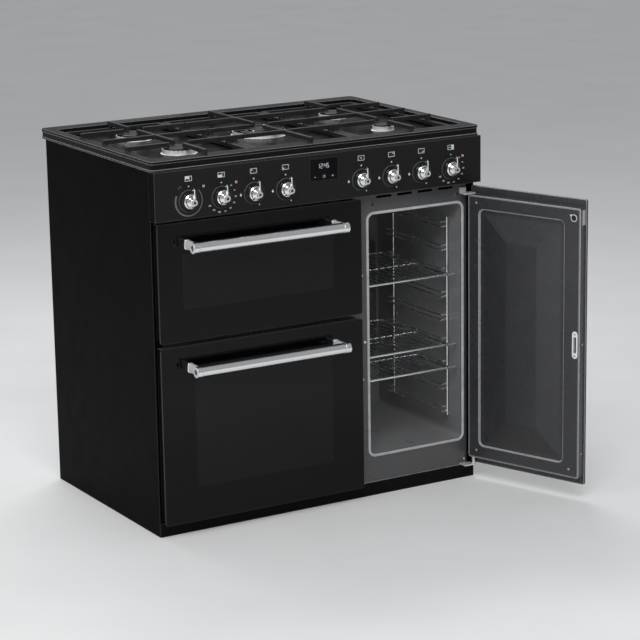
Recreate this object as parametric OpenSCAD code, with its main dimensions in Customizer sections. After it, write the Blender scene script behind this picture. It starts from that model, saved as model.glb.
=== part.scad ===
// Range cooker: three ovens under a five-burner gas hob.
// X runs to the right, the front faces -Y, Z is up. The origin is on the floor, at the middle of the width.
// The tall right door is drawn standing open, the two left doors are drawn closed.

/* [Hob] */
// Width of the hob top
hob_w = 900; // [870:1:960]
// Depth of the hob top
hob_d = 600; // [590:1:640]
// Height of the hob rim above the floor
hob_h = 900; // [890:1:930]
// Height of the hob's folded edge
hob_edge_h = 24; // [20:1:28]
// Corner radius of the hob top
hob_corner_r = 12; // [6:1:20]
// Width of the rim beside the sunk well
rim_side_w = 23; // [20:1:26]
// Depth of the rim in front of the well
rim_front_d = 42; // [38:1:46]
// Depth of the rim behind the well
rim_rear_d = 42; // [40:1:46]
// How far the well is sunk below the rim
well_sink = 20; // [16:1:20]
// Thickness of the pressed sheet
sheet_t = 2; // [1.6:0.1:2.4]

/* [Body] */
// How far the side panels stand inside the hob's edge
body_inset = 4; // [3:0.5:5]
// Width of the fold along a side panel's front edge
side_fold_w = 22; // [16:1:22]
// Distance of the body's front behind the hob's front edge
body_back_set = 20; // [19:0.1:20.6]
// Distance of the back panel inside the hob's rear edge
back_in = 24; // [16:1:38]
// Height of the plinth
plinth_h = 33; // [28:1:34]
// Thickness of the plinth's walls
plinth_t = 10; // [8:1:14]
// Width of the right column, from the column split to the body's side
right_col_w = 340.5; // [336:0.5:350]

/* [Fascia] */
// How far the fascia and the doors stand proud of the hob's front edge
front_out = 9; // [8:0.1:10]
// Height of the fascia
fascia_h = 115; // [108:1:120]
// How far the fascia reaches past the side panels at each side
fascia_over = 2; // [1.5:0.5:3]
// Offset of the display's middle to the right of the centre
display_x = 0; // [-10:1:20]
// Width of the display
display_w = 75; // [60:1:90]
// Height of the display
display_h = 52; // [40:1:60]
// Height of the knobs' axes above the fascia's lower edge
knob_rise = 42; // [38:1:50]
// Distance from the centre to the inner pair of knobs
knob_inner_x = 104; // [96:1:108]
// Distance from the outer knobs' axes to the fascia's ends
knob_end = 88.1; // [80:0.1:96]
// Radius of a knob's skirt
knob_skirt_r = 21; // [18:0.5:23]
// Length of a knob from its skirt to the end of its boss
knob_len = 27; // [26:1:32]
// Height of the pointer blade above a knob's axis
blade_h = 33; // [30:1:38]
// Radius of the knob spindles
spindle_r = 4; // [3:0.1:5]
// Push travel of a gas knob
push_travel = 3; // [2:0.1:3.2]

/* [Doors] */
// Gap between neighbouring doors
door_gap = 6; // [5:0.1:7]
// Height of the left doors' lowest edge
door_low_z = 35; // [34.5:0.1:38]
// Height of the upper left door
upper_door_h = 280.1; // [270:0.1:288]
// Gap between the two left doors
left_split_gap = 12.4; // [11:0.1:15]
// Thickness of the left doors' glass
glass_t = 4; // [3:0.5:5]
// Clearance between the side panels' folds and the closed doors
door_back_gap = 2; // [1.6:0.1:2.4]
// Opened angle of the tall right door as drawn
open_angle = 110; // [95:1:110]
// Distance of the tall door's upper edge below the front frame's top
tall_top_in = 10; // [8:0.5:14]
// Height of the tall door's lower edge
tall_low_z = 39.5; // [39:0.1:44]
// How far the tall door's inner box stands inside its skin at the top and bottom
tall_inset_z = 20; // [16:1:24]
// Distance of the tall door's hinge axis from the body's side
hinge_in = 11; // [10.5:0.1:12]
// Distance of the tall door's hinge axis behind the front plane
hinge_back = 12; // [11.5:0.1:13]
// Radius of the hinge pins
hinge_pin_r = 4; // [3:0.1:4.5]
// Radial clearance of the hinge pins and spindles
fit_gap = 0.3; // [0.3:0.05:0.4]

/* [Handles] */
// Radius of the handle bars
bar_r = 12.5; // [9:0.5:13]
// Distance of the bars' axes from the doors' fronts
bar_out = 45; // [42:1:56]
// Distance of the bars' axes below the doors' upper edges
bar_drop = 52.5; // [46:0.5:60]
// Distance of the bars' ends from the doors' sides
bar_side = 66; // [60:1:80]

/* [Ovens] */
// Distance of the left ovens' mouths inside their doors' sides
left_mouth_side = 43.25; // [40:0.25:60]
// Height of the upper left oven's floor above its door's lower edge
upper_floor_rise = 53.1; // [51:0.1:60]
// Distance of the upper left oven's mouth below its door's upper edge
upper_mouth_drop = 22; // [18:1:30]
// Height of the lower left oven's floor above its door's lower edge
lower_floor_rise = 50; // [48:1:60]
// Distance of the lower left oven's mouth below its door's upper edge
lower_mouth_drop = 32.5; // [24:0.5:40]
// Distance of the right oven's mouth inside the right column's sides
right_mouth_side = 35.25; // [34:0.25:42]
// Height of the right oven's floor above its door's lower edge
right_floor_rise = 65.5; // [60:0.5:75]
// Distance of the right oven's mouth below its door's upper edge
right_mouth_drop = 43; // [40:1:50]
// Corner radius of the mouths
mouth_r = 14; // [10:1:18]
// Depth of the ovens behind the front frame
oven_d = 385; // [370:1:400]
// Width of the mouth seals
seal_w = 7; // [5:0.5:8]
// Clearance between a seal and a closed door
seal_gap = 0.4; // [0.3:0.1:0.6]

/* [Racks and shelves] */
// Radius of the racks' upright wires
upright_r = 2.5; // [2:0.1:3]
// Radius of the racks' rungs
rung_r = 2; // [1.6:0.1:2.2]
// Distance of the rungs from the oven's side wall
rung_out = 22; // [19:0.5:24]
// Distance between the two rungs of a pair
rung_pair = 11.8; // [11.4:0.1:13]
// Distance between neighbouring pairs of rungs
rung_pitch = 59.7; // [56:0.1:61]
// Radius of a shelf's frame wires
shelf_wire_r = 2.5; // [2:0.1:2.6]
// Radius of a shelf's grid wires
grid_wire_r = 1.5; // [1.2:0.1:2]
// Distance between a shelf's grid wires
grid_pitch = 20; // [16:1:24]
// Distance of a shelf's rear wire from the oven's back wall
shelf_rear_gap = 52; // [46:1:70]

/* [Pan supports] */
// Height of the pan supports above the rim
support_rise = 8; // [6:1:12]
// Gap between neighbouring pan supports
support_gap = 4; // [3:0.5:6]
// Clearance between the pan supports and the well's wall
support_clear = 3; // [2:0.5:5]
// Width of a pan support's bars
support_bar_w = 8; // [6:0.5:9]
// Clearance between the burners' caps and the bars over them
cap_clear = 2; // [1.5:0.5:3]
// Width of a pan support's low frame
support_frame_w = 12; // [9:1:14]
// Distance of the front and rear bars from the pan supports' middle
support_bar_y = 120; // [112:1:128]

/* [Burners] */
// Radius of the left rear burner's crown
crown_lr_r = 42; // [38:1:44]
// Radius of the left front burner's crown
crown_lf_r = 40; // [34:1:42]
// Radius of the middle burner's crown
crown_mid_r = 65; // [60:1:68]
// Radius of the right rear burner's crown
crown_rr_r = 35; // [30:1:40]
// Radius of the right front burner's crown
crown_rf_r = 25; // [22:1:30]
// Height of a burner's crown
crown_h = 9.5; // [8:0.5:10]
// Thickness of a burner's cap
cap_t = 4.5; // [4:0.5:5]
// Depth of a burner's cup below the well
cup_h = 26; // [20:1:30]

/* [Vents and feet] */
// Number of vent slots in the hob's rear rim
vent_n = 17; // [8:1:17]
// Distance between neighbouring vent slots
vent_pitch = 11.4; // [9:0.1:12]
// X of the first vent slot
vent_x0 = -262; // [-300:1:-200]
// Number of slots over the right oven's mouth
slot_n = 4; // [2:1:4]
// Distance between neighbouring slots over the right oven's mouth
slot_pitch = 59.5; // [56:0.5:62]
// Number of louvres in each column of the back panel
louvre_n = 8; // [4:1:8]
// Radius of the levelling feet
foot_r = 19; // [12:1:24]
// Distance of the feet's axes inside the plinth's outer faces
foot_in = 55; // [45:1:80]

/* [Grill] */
// Distance of the grill pan from the oven's back wall
pan_rear_gap = 55; // [40:1:80]
// Height of the grill pan
pan_h = 38; // [30:1:50]
// Distance of the grill element's outer runs from the oven's side walls
element_side = 90; // [70:1:110]

/* [Fans] */
// Radius of the fan wheels
fan_r = 62; // [50:1:66]
// Width of the fan wheels along their axes
fan_t = 16; // [12:0.5:17]
// Distance of the fan covers' fronts from the ovens' back walls
cover_front = 32; // [31:1:36]

/* [Connections] */
// Distance of the gas inlet from the body's inner side
inlet_side = 44; // [38:1:50]
// Distance of the mains terminal box's middle from the body's inner side
terminal_side = 114; // [80:1:200]
// Height of the mains terminal box's middle
terminal_z = 150; // [110:1:300]
// Distance of the wall bracket's holes from the body's inner side
bracket_side = 94; // [70:1:110]
// Distance of the wall bracket's holes below the hob's rim
bracket_drop = 200; // [170:1:260]

/* [Hidden] */
$fn = 48;
eps = 0.01;

// Body planes
body_hw = hob_w / 2 - body_inset;
inner_hw = body_hw - sheet_t;
hob_front_y = -hob_d / 2;
hob_back_y = hob_d / 2;
side_front_y = hob_front_y + body_back_set;
back_y = hob_back_y - back_in;
front_y = hob_front_y - front_out;
door_back_y = side_front_y - door_back_gap;
hob_edge_z = hob_h - hob_edge_h;
fascia_z = hob_edge_z - fascia_h;
hob_under_z = hob_h - sheet_t;
frame_y = side_front_y + sheet_t;
frame_t = 3;
frame_back_y = frame_y + frame_t;
tray_z = plinth_h;
tray_top_z = plinth_h + sheet_t;
split_x = body_hw - right_col_w;
tray_hole_x = inner_hw - 184;
tray_hole_y = hob_d / 5;
tray_hole_r = 9;
frame_top_z = fascia_z - 1;
fold_x = body_hw - side_fold_w;

// Left doors
left_door_x0 = -body_hw + 2;
left_door_x1 = split_x - door_gap / 2;
left_door_cx = (left_door_x0 + left_door_x1) / 2;
left_door_w = left_door_x1 - left_door_x0;
upper_door_z1 = fascia_z - door_gap;
upper_door_z0 = upper_door_z1 - upper_door_h;
lower_door_z1 = upper_door_z0 - left_split_gap;
left_hinge_y = front_y + 12;
left_hinge_rise = 12;
liner_lift = 6;
glass_back_y = front_y + glass_t;
liner_inset = 4;
liner_t = 2;
window_side = 62;
window_low = 73;
window_top = 62;
pane_t = 3;
pane_lap = 10;
hinge_bar_w = 6;
hinge_slot = 10;
hinge_inset = 40;
hinge_end_r = 7.5;
hinge_ear_w = 8;
corner_r = 5;
collar_r = bar_r + 0.8;
collar_w = 13;
bar_recess_r = 5;
bar_recess_t = 3;
bar_arm_in = 4;
bar_arm_w = 12;
bar_arm_h = 21;
bar_arm_r = 4;

// Tall right door, drawn closed and then turned about its hinge
tall_x0 = split_x + door_gap / 2;
tall_x1 = body_hw;
hinge_x = body_hw - hinge_in;
hinge_y = front_y + hinge_back;
skin_t = 5;
skin_back_y = front_y + skin_t;
tall_top_z = frame_top_z - tall_top_in;
box_x0 = tall_x0 + 3.5;
box_x1 = tall_x1 - 6;
box_z0 = tall_low_z + tall_inset_z;
box_z1 = tall_top_z - tall_inset_z;
panel_side = 32;
panel_free_side = 46;
panel_end = 33;
panel_depth = 4;
pyramid_side = 80;
pyramid_end = 76;
arm_t = 3;
arm_gap = 1;
arm_x = 30;
arm_front = 6;
pin_reach = 14;

// Ovens
left_mouth_cx = left_door_cx;
left_mouth_w = left_door_w - 2 * left_mouth_side;
upper_floor_z = upper_door_z0 + upper_floor_rise;
upper_mouth_h = upper_door_z1 - upper_mouth_drop - upper_floor_z;
lower_floor_z = door_low_z + lower_floor_rise;
lower_mouth_h = lower_door_z1 - lower_mouth_drop - lower_floor_z;
right_mouth_cx = (split_x + body_hw) / 2;
right_mouth_w = right_col_w - 2 * right_mouth_side;
right_floor_z = tall_low_z + right_floor_rise;
right_mouth_h = tall_top_z - right_mouth_drop - right_floor_z;
cavity_t = 2;
cavity_y0 = frame_back_y;
cavity_y1 = cavity_y0 + oven_d;
seal_front_y = door_back_y + seal_gap;
cover_t = 1.5;
cover_w_left = left_mouth_w - 160;
cover_h_left = lower_mouth_h - 85;
cover_w_right = right_mouth_w - 54;
cover_h_right = right_mouth_h / 2 - 1;
fan_behind_cover = 6;
fan_shaft_r = 4;
fan_blades = 12;
motor_r = 34;
motor_len = 55;
lower_mid_z = lower_floor_z + lower_mouth_h / 2;
right_mid_z = right_floor_z + right_mouth_h / 2;
ledge_w = 9;
ledge_h = 8;
ledge_z = upper_floor_z + 88;
element_r = 3.5;
element_n = 6;
element_pitch = (left_mouth_w - 2 * element_side) / (element_n - 1);
element_z = upper_floor_z + upper_mouth_h - 24;
element_y0 = cavity_y0 + 60;
pan_clear = 1.5;
pan_wall = 1.5;
slot_w = 44;
slot_h = 6;
slot_z = frame_top_z - 11;
buffer_x = right_mouth_w / 2 - 12;
buffer_z = frame_top_z - 28.5;
catch_z = (tall_low_z + tall_top_z) / 2;

// Racks
rack_front_y = frame_y + 56;
rack_rear_y = cavity_y1 - 84;
rack_wall_gap = 5;
rack_over = 11;
right_rung_z0 = right_floor_z + 58;
left_rung_z0 = lower_floor_z + 52;
rung_top_gap = 20;
right_levels = rung_levels(right_rung_z0, right_floor_z + right_mouth_h);
left_levels = rung_levels(left_rung_z0, lower_floor_z + lower_mouth_h);
shelf_seat = rung_r + shelf_wire_r + 0.3;
shelf_front_y = frame_y + 18;

// Fascia and controls
fascia_hw = body_hw + fascia_over;
knob_pitch = (fascia_hw - knob_end - knob_inner_x) / 3;
switch_w = 40;
switch_h = 44;
switch_len = 27;
neck_len = 11;
knob_z = fascia_z + knob_rise;
knob_back_y = front_y - 0.4 - push_travel;
bezel_r = knob_skirt_r + 5;
bezel_t = 3;
spindle_hole_r = spindle_r + 1.5;
spindle_front_y = knob_back_y - knob_len + 12;
spindle_back_y = front_y + 21;
display_z = fascia_z + 78;
boss_r = 9;
blade_w = 3;
valve_y0 = front_y + sheet_t;
valve_w = 26;
valve_h = 30;
valve_len = 34;
rail_r = 8;
rail_y = valve_y0 + neck_len + valve_len + rail_r - 2;
rail_over = 20;
KNOB_XS = [for (s = [-1, 1]) for (i = [0:3]) s * (knob_inner_x + (s < 0 ? 3 - i : i) * knob_pitch)];
OVEN_KNOBS = [0, 1, 7];
GAS_KNOBS = [2, 3, 4, 5, 6];

// Hob
well_hw = hob_w / 2 - rim_side_w;
well_y0 = hob_front_y + rim_front_d;
well_y1 = hob_back_y - rim_rear_d;
well_z = hob_h - well_sink;
well_r = 18;
lip_h = 6.5;
bead_h = 4;
band_in = 1.5;
support_z1 = hob_h + support_rise;
support_hw = well_hw - support_clear;
support_w = (2 * support_hw - 2 * support_gap) / 3;
support_pitch = support_w + support_gap;
support_y0 = well_y0 + support_clear;
support_y1 = well_y1 - support_clear;
support_frame_z = well_z + 3;
support_frame_h = 9;
BURNERS = [
    [-support_pitch, support_bar_y, crown_lr_r],
    [-support_pitch, -support_bar_y, crown_lf_r],
    [0, 0, crown_mid_r],
    [support_pitch, support_bar_y, crown_rr_r],
    [support_pitch, -support_bar_y, crown_rf_r]
];
crown_z = well_z + 2;
crown_wall = 13;
cap_ring_w = 20;
inner_ratio = 2.4;
big_burner_r = 50;
support_z0 = crown_z + crown_h + cap_t + cap_clear;
plug_r = 3;
plug_out = 5;
plug_tail = 20;
plug_rise = 8;
plug_tip_r = 1;
plug_tip_h = 5;
plug_collar_r = 5;
plug_collar_h = 6;
support_inner_gap = 26;

vent_w = 5;
vent_d = 14;

// Back and connections
louvre_w = 150;
louvre_side = 204;
louvre_drop = 256;
louvre_x = inner_hw - louvre_side;
louvre_z0 = hob_edge_z - louvre_drop;
louvre_pitch = 14;
louvre_h = 5;
inlet_x = inner_hw - inlet_side;
inlet_z = knob_z;
terminal_x = -(inner_hw - terminal_side);
bracket_hole_x = inner_hw - bracket_side;
bracket_hole_z = hob_h - bracket_drop;
inlet_hole_r = 14;
inlet_reach = 26;
inlet_pipe_r = 9;
nipple_r = 10.48;
nipple_len = 18;
elbow_y = back_y + sheet_t + 11.4;
elbow_len = 20;
terminal_w = 90;
terminal_h = 70;
terminal_d = 20;
gland_len = 12;
gland_r = 9;
gland_bore_r = 5.5;
bracket_hole_r = 3;

// Colours
black = "#17181a";
enamel = "#3a3b3d";
chrome = "#c9ccd0";
steel = "#9aa0a6";
iron = "#222325";
rubber = "#8d9093";

// ---------- helpers ----------

// Pairs of rungs that fit between the lowest rung and an oven's roof
function rung_levels(z0, roof_z) = 1 + floor((roof_z - rung_top_gap - rung_pair - z0) / rung_pitch);

// A cylinder of length len along +X, from the given place
module along_x(len, r) rotate([0, 90, 0]) cylinder(h = len, r = r);

// A cylinder of length len along +Y, from the given place
module along_y(len, r) rotate([-90, 0, 0]) cylinder(h = len, r = r);

// A flat rounded rectangle from (x0, y0) to (x1, y1)
module rounded(x0, y0, x1, y1, r) {
    translate([x0 + r, y0]) square([x1 - x0 - 2 * r, y1 - y0]);
    translate([x0, y0 + r]) square([x1 - x0, y1 - y0 - 2 * r]);
    for (x = [x0 + r, x1 - r], y = [y0 + r, y1 - r]) translate([x, y]) circle(r = r);
}

// A rounded plate that stands across Y, from (x0, z0) to (x1, z1), between y0 and y1
module upright(x0, z0, x1, z1, r, y0, y1) {
    translate([0, y1, 0]) rotate([90, 0, 0]) linear_extrude(y1 - y0) rounded(x0, z0, x1, z1, r);
}

// A box given by its lowest and highest corners
module block(lo, hi) translate(lo) cube(hi - lo);

// Turns the tall door's closed form to where it stands
module tall_door_pose() {
    translate([hinge_x, hinge_y, 0])
        rotate([0, 0, open_angle]) translate([-hinge_x, -hinge_y, 0]) children();
}

// ---------- casing ----------

module plinth_frame() {
    color(black)
    difference() {
        block([-inner_hw, side_front_y, 0], [inner_hw, back_y, plinth_h]);
        block([-inner_hw + plinth_t, side_front_y + plinth_t, -1],
              [inner_hw - plinth_t, back_y - plinth_t, plinth_h + 1]);
    }
}

module levelling_feet() {
    color(steel)
    for (x = [-1, 1], y = [side_front_y + foot_in, back_y - foot_in])
        translate([x * (inner_hw - foot_in), y, 1]) {
            cylinder(h = 8, r = foot_r);
            cylinder(h = plinth_h - 1, r = 5);
        }
}

module base_tray() {
    color(steel)
    difference() {
        block([-inner_hw, frame_y, tray_z], [inner_hw, back_y, tray_top_z]);
        for (x = [-tray_hole_x, 0, tray_hole_x], y = [-tray_hole_y, 0, tray_hole_y])
            translate([x, y, tray_z - 1]) cylinder(h = sheet_t + 2, r = tray_hole_r);
    }
}

// One side panel: the sheet and its front fold; s is -1 for the left one
module side_panel(s) {
    x_out = s * body_hw;
    x_in = s * inner_hw;
    x_fold = s * (body_hw - side_fold_w);
    color(black) {
        block([min(x_out, x_in), side_front_y, 1], [max(x_out, x_in), back_y + sheet_t, hob_under_z]);
        block([min(x_in, x_fold), side_front_y, plinth_h],
              [max(x_in, x_fold), side_front_y + sheet_t, hob_edge_z]);
    }
}

module side_panel_left() side_panel(-1);
module side_panel_right() side_panel(1);

module back_panel() {
    color(steel)
    difference() {
        block([-inner_hw, back_y, tray_z], [inner_hw, back_y + sheet_t, hob_edge_z]);
        for (x = [-louvre_x, 0, louvre_x], i = [0:louvre_n - 1])
            block([x - louvre_w / 2, back_y - 1, louvre_z0 + i * louvre_pitch],
                  [x + louvre_w / 2, back_y + sheet_t + 1, louvre_z0 + i * louvre_pitch + louvre_h]);
        translate([inlet_x, back_y - 1, inlet_z]) along_y(sheet_t + 2, inlet_hole_r);
        translate([terminal_x, back_y - 1, terminal_z]) along_y(sheet_t + 2, inlet_hole_r - 2);
        for (s = [-1, 1])
            translate([s * bracket_hole_x, back_y - 1, bracket_hole_z]) along_y(sheet_t + 2, bracket_hole_r);
    }
}

// Gas elbow with its threaded nipple pointing down, and the mains terminal box
module service_inlets() {
    color("#b08d4a") {
        translate([inlet_x, back_y - inlet_reach, inlet_z])
            along_y(elbow_y - back_y + inlet_reach, inlet_pipe_r);
        translate([inlet_x, elbow_y, inlet_z]) sphere(r = nipple_r - 0.18);
        translate([inlet_x, elbow_y, inlet_z - elbow_len]) cylinder(h = elbow_len, r = nipple_r - 0.28);
        translate([inlet_x, elbow_y, inlet_z - elbow_len - nipple_len])
            cylinder(h = nipple_len + 1, r = nipple_r);
    }
    color(black)
    difference() {
        union() {
            block([terminal_x - terminal_w / 2, back_y + sheet_t, terminal_z - terminal_h / 2],
                  [terminal_x + terminal_w / 2, back_y + sheet_t + terminal_d, terminal_z + terminal_h / 2]);
            translate([terminal_x, back_y + sheet_t + terminal_d / 2, terminal_z - terminal_h / 2 - gland_len])
                cylinder(h = gland_len + 1, r = gland_r);
        }
        translate([terminal_x, back_y + sheet_t + terminal_d / 2, terminal_z - terminal_h / 2 - gland_len - 1])
            cylinder(h = gland_len + 18, r = gland_bore_r);
    }
}

// ---------- hob ----------

// A slab of the hob's outline, drawn in by d
module hob_slab(z0, z1, d)
    translate([0, 0, z0])
        linear_extrude(z1 - z0)
            rounded(-hob_w / 2 + d, hob_front_y + d, hob_w / 2 - d, hob_back_y - d, hob_corner_r - d);

// The folded edge has an upper lip, a sunk band and a lower bead, round a well with burner holes
module hob_top() {
    color(black)
    difference() {
        union() {
            difference() {
                union() {
                    hob_slab(hob_edge_z, hob_edge_z + bead_h, 0);
                    hob_slab(hob_edge_z + bead_h, hob_h - lip_h, band_in);
                    hob_slab(hob_h - lip_h, hob_h, 0);
                }
                hob_slab(hob_edge_z - 1, hob_edge_z + bead_h - band_in, sheet_t);
                hob_slab(hob_edge_z - 1, hob_under_z, sheet_t + band_in);
            }
            translate([0, 0, well_z - sheet_t])
                linear_extrude(well_sink + sheet_t - sheet_t / 2)
                    rounded(-well_hw - sheet_t, well_y0 - sheet_t, well_hw + sheet_t, well_y1 + sheet_t,
                            well_r + sheet_t);
        }
        translate([0, 0, well_z])
            linear_extrude(well_sink + 1) rounded(-well_hw, well_y0, well_hw, well_y1, well_r);
        for (b = BURNERS)
            translate([b[0], b[1], well_z - sheet_t - 1]) cylinder(h = sheet_t + 2, r = b[2] - 8);
        for (b = BURNERS)
            translate([b[0] + b[2] + plug_out, b[1], well_z - sheet_t - 1])
                cylinder(h = sheet_t + 2, r = plug_r);
        for (i = [0:vent_n - 1])
            block([vent_x0 + i * vent_pitch, well_y1 + 17, hob_under_z - 1],
                  [vent_x0 + i * vent_pitch + vent_w, well_y1 + 17 + vent_d, hob_h + 1]);
    }
}

module burner_cups() {
    color(steel)
    for (b = BURNERS)
        translate([b[0], b[1], 0])
            difference() {
                union() {
                    translate([0, 0, well_z - sheet_t - cup_h]) cylinder(h = cup_h, r = b[2] - 4);
                    translate([0, 0, well_z - sheet_t]) cylinder(h = sheet_t + 2, r = b[2] - 8.3);
                }
                translate([0, 0, well_z - cup_h]) cylinder(h = cup_h + 3, r = b[2] - 14);
            }
}

// A crown: a ring cut by flame slots, with an inner ring on the middle burner
module crown(r, n) {
    difference() {
        cylinder(h = crown_h, r = r);
        translate([0, 0, -1]) cylinder(h = crown_h + 2, r = r - crown_wall);
        for (i = [0:n - 1])
            rotate([0, 0, i * 360 / n]) translate([r - 6, -1, crown_h - 4]) cube([8, 2, 5]);
    }
}

module burner_crowns() {
    color(chrome)
    for (b = BURNERS)
        translate([b[0], b[1], crown_z]) {
            crown(b[2], b[2] > big_burner_r ? 36 : 24);
            if (b[2] > big_burner_r) crown(b[2] / inner_ratio, 18);
            if (b[2] > big_burner_r)
                for (a = [0:120:240])
                    rotate([0, 0, a])
                        translate([b[2] / inner_ratio - 3, -4, 0])
                            cube([b[2] - crown_wall - b[2] / inner_ratio + 6, 8, 4]);
        }
}

// A cap is a disc with a rounded edge, or on the middle burner a ring and a small disc
module burner_caps() {
    color(black)
    for (b = BURNERS)
        translate([b[0], b[1], crown_z + crown_h])
            if (b[2] > big_burner_r) {
                rotate_extrude()
                    polygon([[b[2] - cap_ring_w, 0], [b[2] - 2, 0], [b[2] - 2, 3], [b[2] - 5, cap_t],
                             [b[2] - cap_ring_w, cap_t]]);
                rotate_extrude()
                    polygon([[0, 0], [b[2] / inner_ratio + 1, 0], [b[2] / inner_ratio + 1, 3],
                             [b[2] / inner_ratio - 2, cap_t], [0, cap_t]]);
            } else {
                rotate_extrude()
                    polygon([[0, 0], [b[2] - 2, 0], [b[2] - 2, 3], [b[2] - 5, cap_t], [0, cap_t]]);
            }
}

module spark_plugs() {
    color("white")
    for (b = BURNERS)
        translate([b[0] + b[2] + plug_out, b[1], well_z - sheet_t]) {
            translate([0, 0, -plug_tail]) cylinder(h = plug_tail + sheet_t + plug_rise, r = plug_r - 0.3);
            translate([0, 0, sheet_t + plug_rise]) cylinder(h = plug_tip_h, r = plug_tip_r);
            translate([0, 0, -plug_collar_h]) cylinder(h = plug_collar_h, r = plug_collar_r);
        }
}

// One pan support: a low frame on the well's floor, tall corner feet, and bars that stop short of the burners
module pan_support(cx, gap_r) {
    hw = support_w / 2;
    fw = support_frame_w;
    bw = support_bar_w / 2;
    z0 = support_z0;
    color(iron)
    translate([cx, 0, 0]) {
        difference() {
            translate([0, 0, support_frame_z])
                linear_extrude(support_frame_h)
                    rounded(-hw, support_y0, hw, support_y1, well_r - support_clear);
            block([-hw + fw, support_y0 + fw, support_frame_z - 1], [hw - fw, support_y1 - fw, support_z1]);
        }
        for (x = [-hw + fw / 2, hw - fw / 2], y = [-support_bar_y - 60, support_bar_y + 60])
            translate([x, y, well_z + 0.3]) cylinder(h = 4, r = fw / 2 - 1);
        // Bars across, at the front, the middle and the rear
        for (y = [-support_bar_y, 0, support_bar_y], s = [-1, 1]) {
            x_in = (gap_r > 0 && y == 0) || (gap_r == 0 && y != 0) ? support_inner_gap : 0;
            block([min(s * x_in, s * hw), y - bw, z0], [max(s * x_in, s * hw), y + bw, support_z1]);
            block([min(s * hw, s * (hw - fw)), y - bw, support_frame_z],
                  [max(s * hw, s * (hw - fw)), y + bw, support_z1]);
        }
        // Bars from front to rear, one at each end and one or two inside
        for (s = [-1, 1]) {
            y_end = s > 0 ? support_y1 : support_y0;
            y_in = s * (gap_r > 0 ? support_inner_gap : support_bar_y + support_inner_gap);
            block([-bw, min(y_in, y_end), z0], [bw, max(y_in, y_end), support_z1]);
            block([-bw, min(y_end, y_end - s * fw), support_frame_z],
                  [bw, max(y_end, y_end - s * fw), support_z1]);
        }
        if (gap_r == 0)
            block([-bw, -support_bar_y + support_inner_gap, z0],
                  [bw, support_bar_y - support_inner_gap, support_z1]);
    }
}

module pan_support_left() pan_support(-support_pitch, 0);
module pan_support_middle() pan_support(0, 1);
module pan_support_right() pan_support(support_pitch, 0);

// ---------- fascia and controls ----------

module control_fascia() {
    w = sheet_t;
    color(black)
    difference() {
        union() {
            difference() {
                block([-fascia_hw, front_y, fascia_z], [fascia_hw, side_front_y, hob_edge_z]);
                block([-fascia_hw + w, front_y + w, fascia_z + w],
                      [fascia_hw - w, side_front_y + 1, hob_edge_z - w]);
            }
            for (s = [-1, 1])
                block([min(s * fascia_hw, s * (fascia_hw - 12)), side_front_y - w, fascia_z],
                      [max(s * fascia_hw, s * (fascia_hw - 12)), side_front_y, hob_edge_z]);
            for (x = KNOB_XS) translate([x, front_y - bezel_t, knob_z]) along_y(bezel_t + 1, bezel_r);
        }
        for (x = KNOB_XS) {
            translate([x, front_y - bezel_t - 1, knob_z]) along_y(bezel_t + 1, knob_skirt_r + 0.5);
            translate([x, front_y - 1, knob_z]) along_y(w + 2, spindle_hole_r);
        }
        block([display_x - display_w / 2, front_y - 1, display_z - display_h / 2],
              [display_x + display_w / 2, front_y + w + 1, display_z + display_h / 2]);
    }
}

module clock_module() {
    color("#0b0c0e") {
        block([display_x - display_w / 2 + 0.3, front_y - 0.8, display_z - display_h / 2 + 0.3],
              [display_x + display_w / 2 - 0.3, front_y + sheet_t, display_z + display_h / 2 - 0.3]);
        block([display_x - display_w / 2 - 4, front_y + sheet_t, display_z - display_h / 2 - 4],
              [display_x + display_w / 2 + 4, front_y + sheet_t + 18, display_z + display_h / 2 + 4]);
    }
}

// A knob on the axis (x, knob_z): skirt, bell, boss with an end ring, and an upright pointer blade
module knob(x) {
    color(chrome)
    translate([x, knob_back_y, knob_z]) {
        difference() {
            rotate([90, 0, 0])
                rotate_extrude()
                    polygon([[0, 0], [knob_skirt_r, 0], [knob_skirt_r, 2], [knob_skirt_r - 1.5, 3.5],
                             [knob_skirt_r - 2, 6], [knob_skirt_r - 4, 8], [knob_skirt_r - 6.5, 10],
                             [knob_skirt_r - 7.5, 14], [knob_skirt_r - 11, 17.5], [7.5, 18.5], [6.5, 19],
                             [6.5, knob_len - 4], [7.2, knob_len - 3], [7.2, knob_len], [3.4, knob_len],
                             [3.4, knob_len - 2], [0, knob_len - 2]]);
            translate([0, 1, 0]) rotate([90, 0, 0]) cylinder(h = knob_len - 10, r = spindle_r + fit_gap);
        }
        // The blade stands on the boss and curls back at its top
        translate([-blade_w / 2, 0, 0])
            rotate([90, 0, 90])
                linear_extrude(blade_w) {
                    translate([-knob_len + 1, 5]) square([3.5, blade_h - 11]);
                    difference() {
                        translate([-knob_len + 7, blade_h - 6]) circle(r = 6);
                        translate([-knob_len + 7, blade_h - 6]) circle(r = 2.5);
                        translate([-knob_len - 4, blade_h - 20]) square([20, 14]);
                    }
                }
    }
}

// The spindle of a gas valve: it slides in the valve, and the knob turns on it
module gas_spindle(x) {
    color(steel)
    translate([x, spindle_front_y, knob_z]) along_y(spindle_back_y - spindle_front_y, spindle_r);
}

module knob_upper_oven() knob(KNOB_XS[0]);
module knob_lower_oven() knob(KNOB_XS[1]);
module knob_burner_1() knob(KNOB_XS[2]);
module knob_burner_2() knob(KNOB_XS[3]);
module knob_burner_3() knob(KNOB_XS[4]);
module knob_burner_4() knob(KNOB_XS[5]);
module knob_burner_5() knob(KNOB_XS[6]);
module knob_right_oven() knob(KNOB_XS[7]);
module spindle_burner_1() gas_spindle(KNOB_XS[2]);
module spindle_burner_2() gas_spindle(KNOB_XS[3]);
module spindle_burner_3() gas_spindle(KNOB_XS[4]);
module spindle_burner_4() gas_spindle(KNOB_XS[5]);
module spindle_burner_5() gas_spindle(KNOB_XS[6]);

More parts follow.
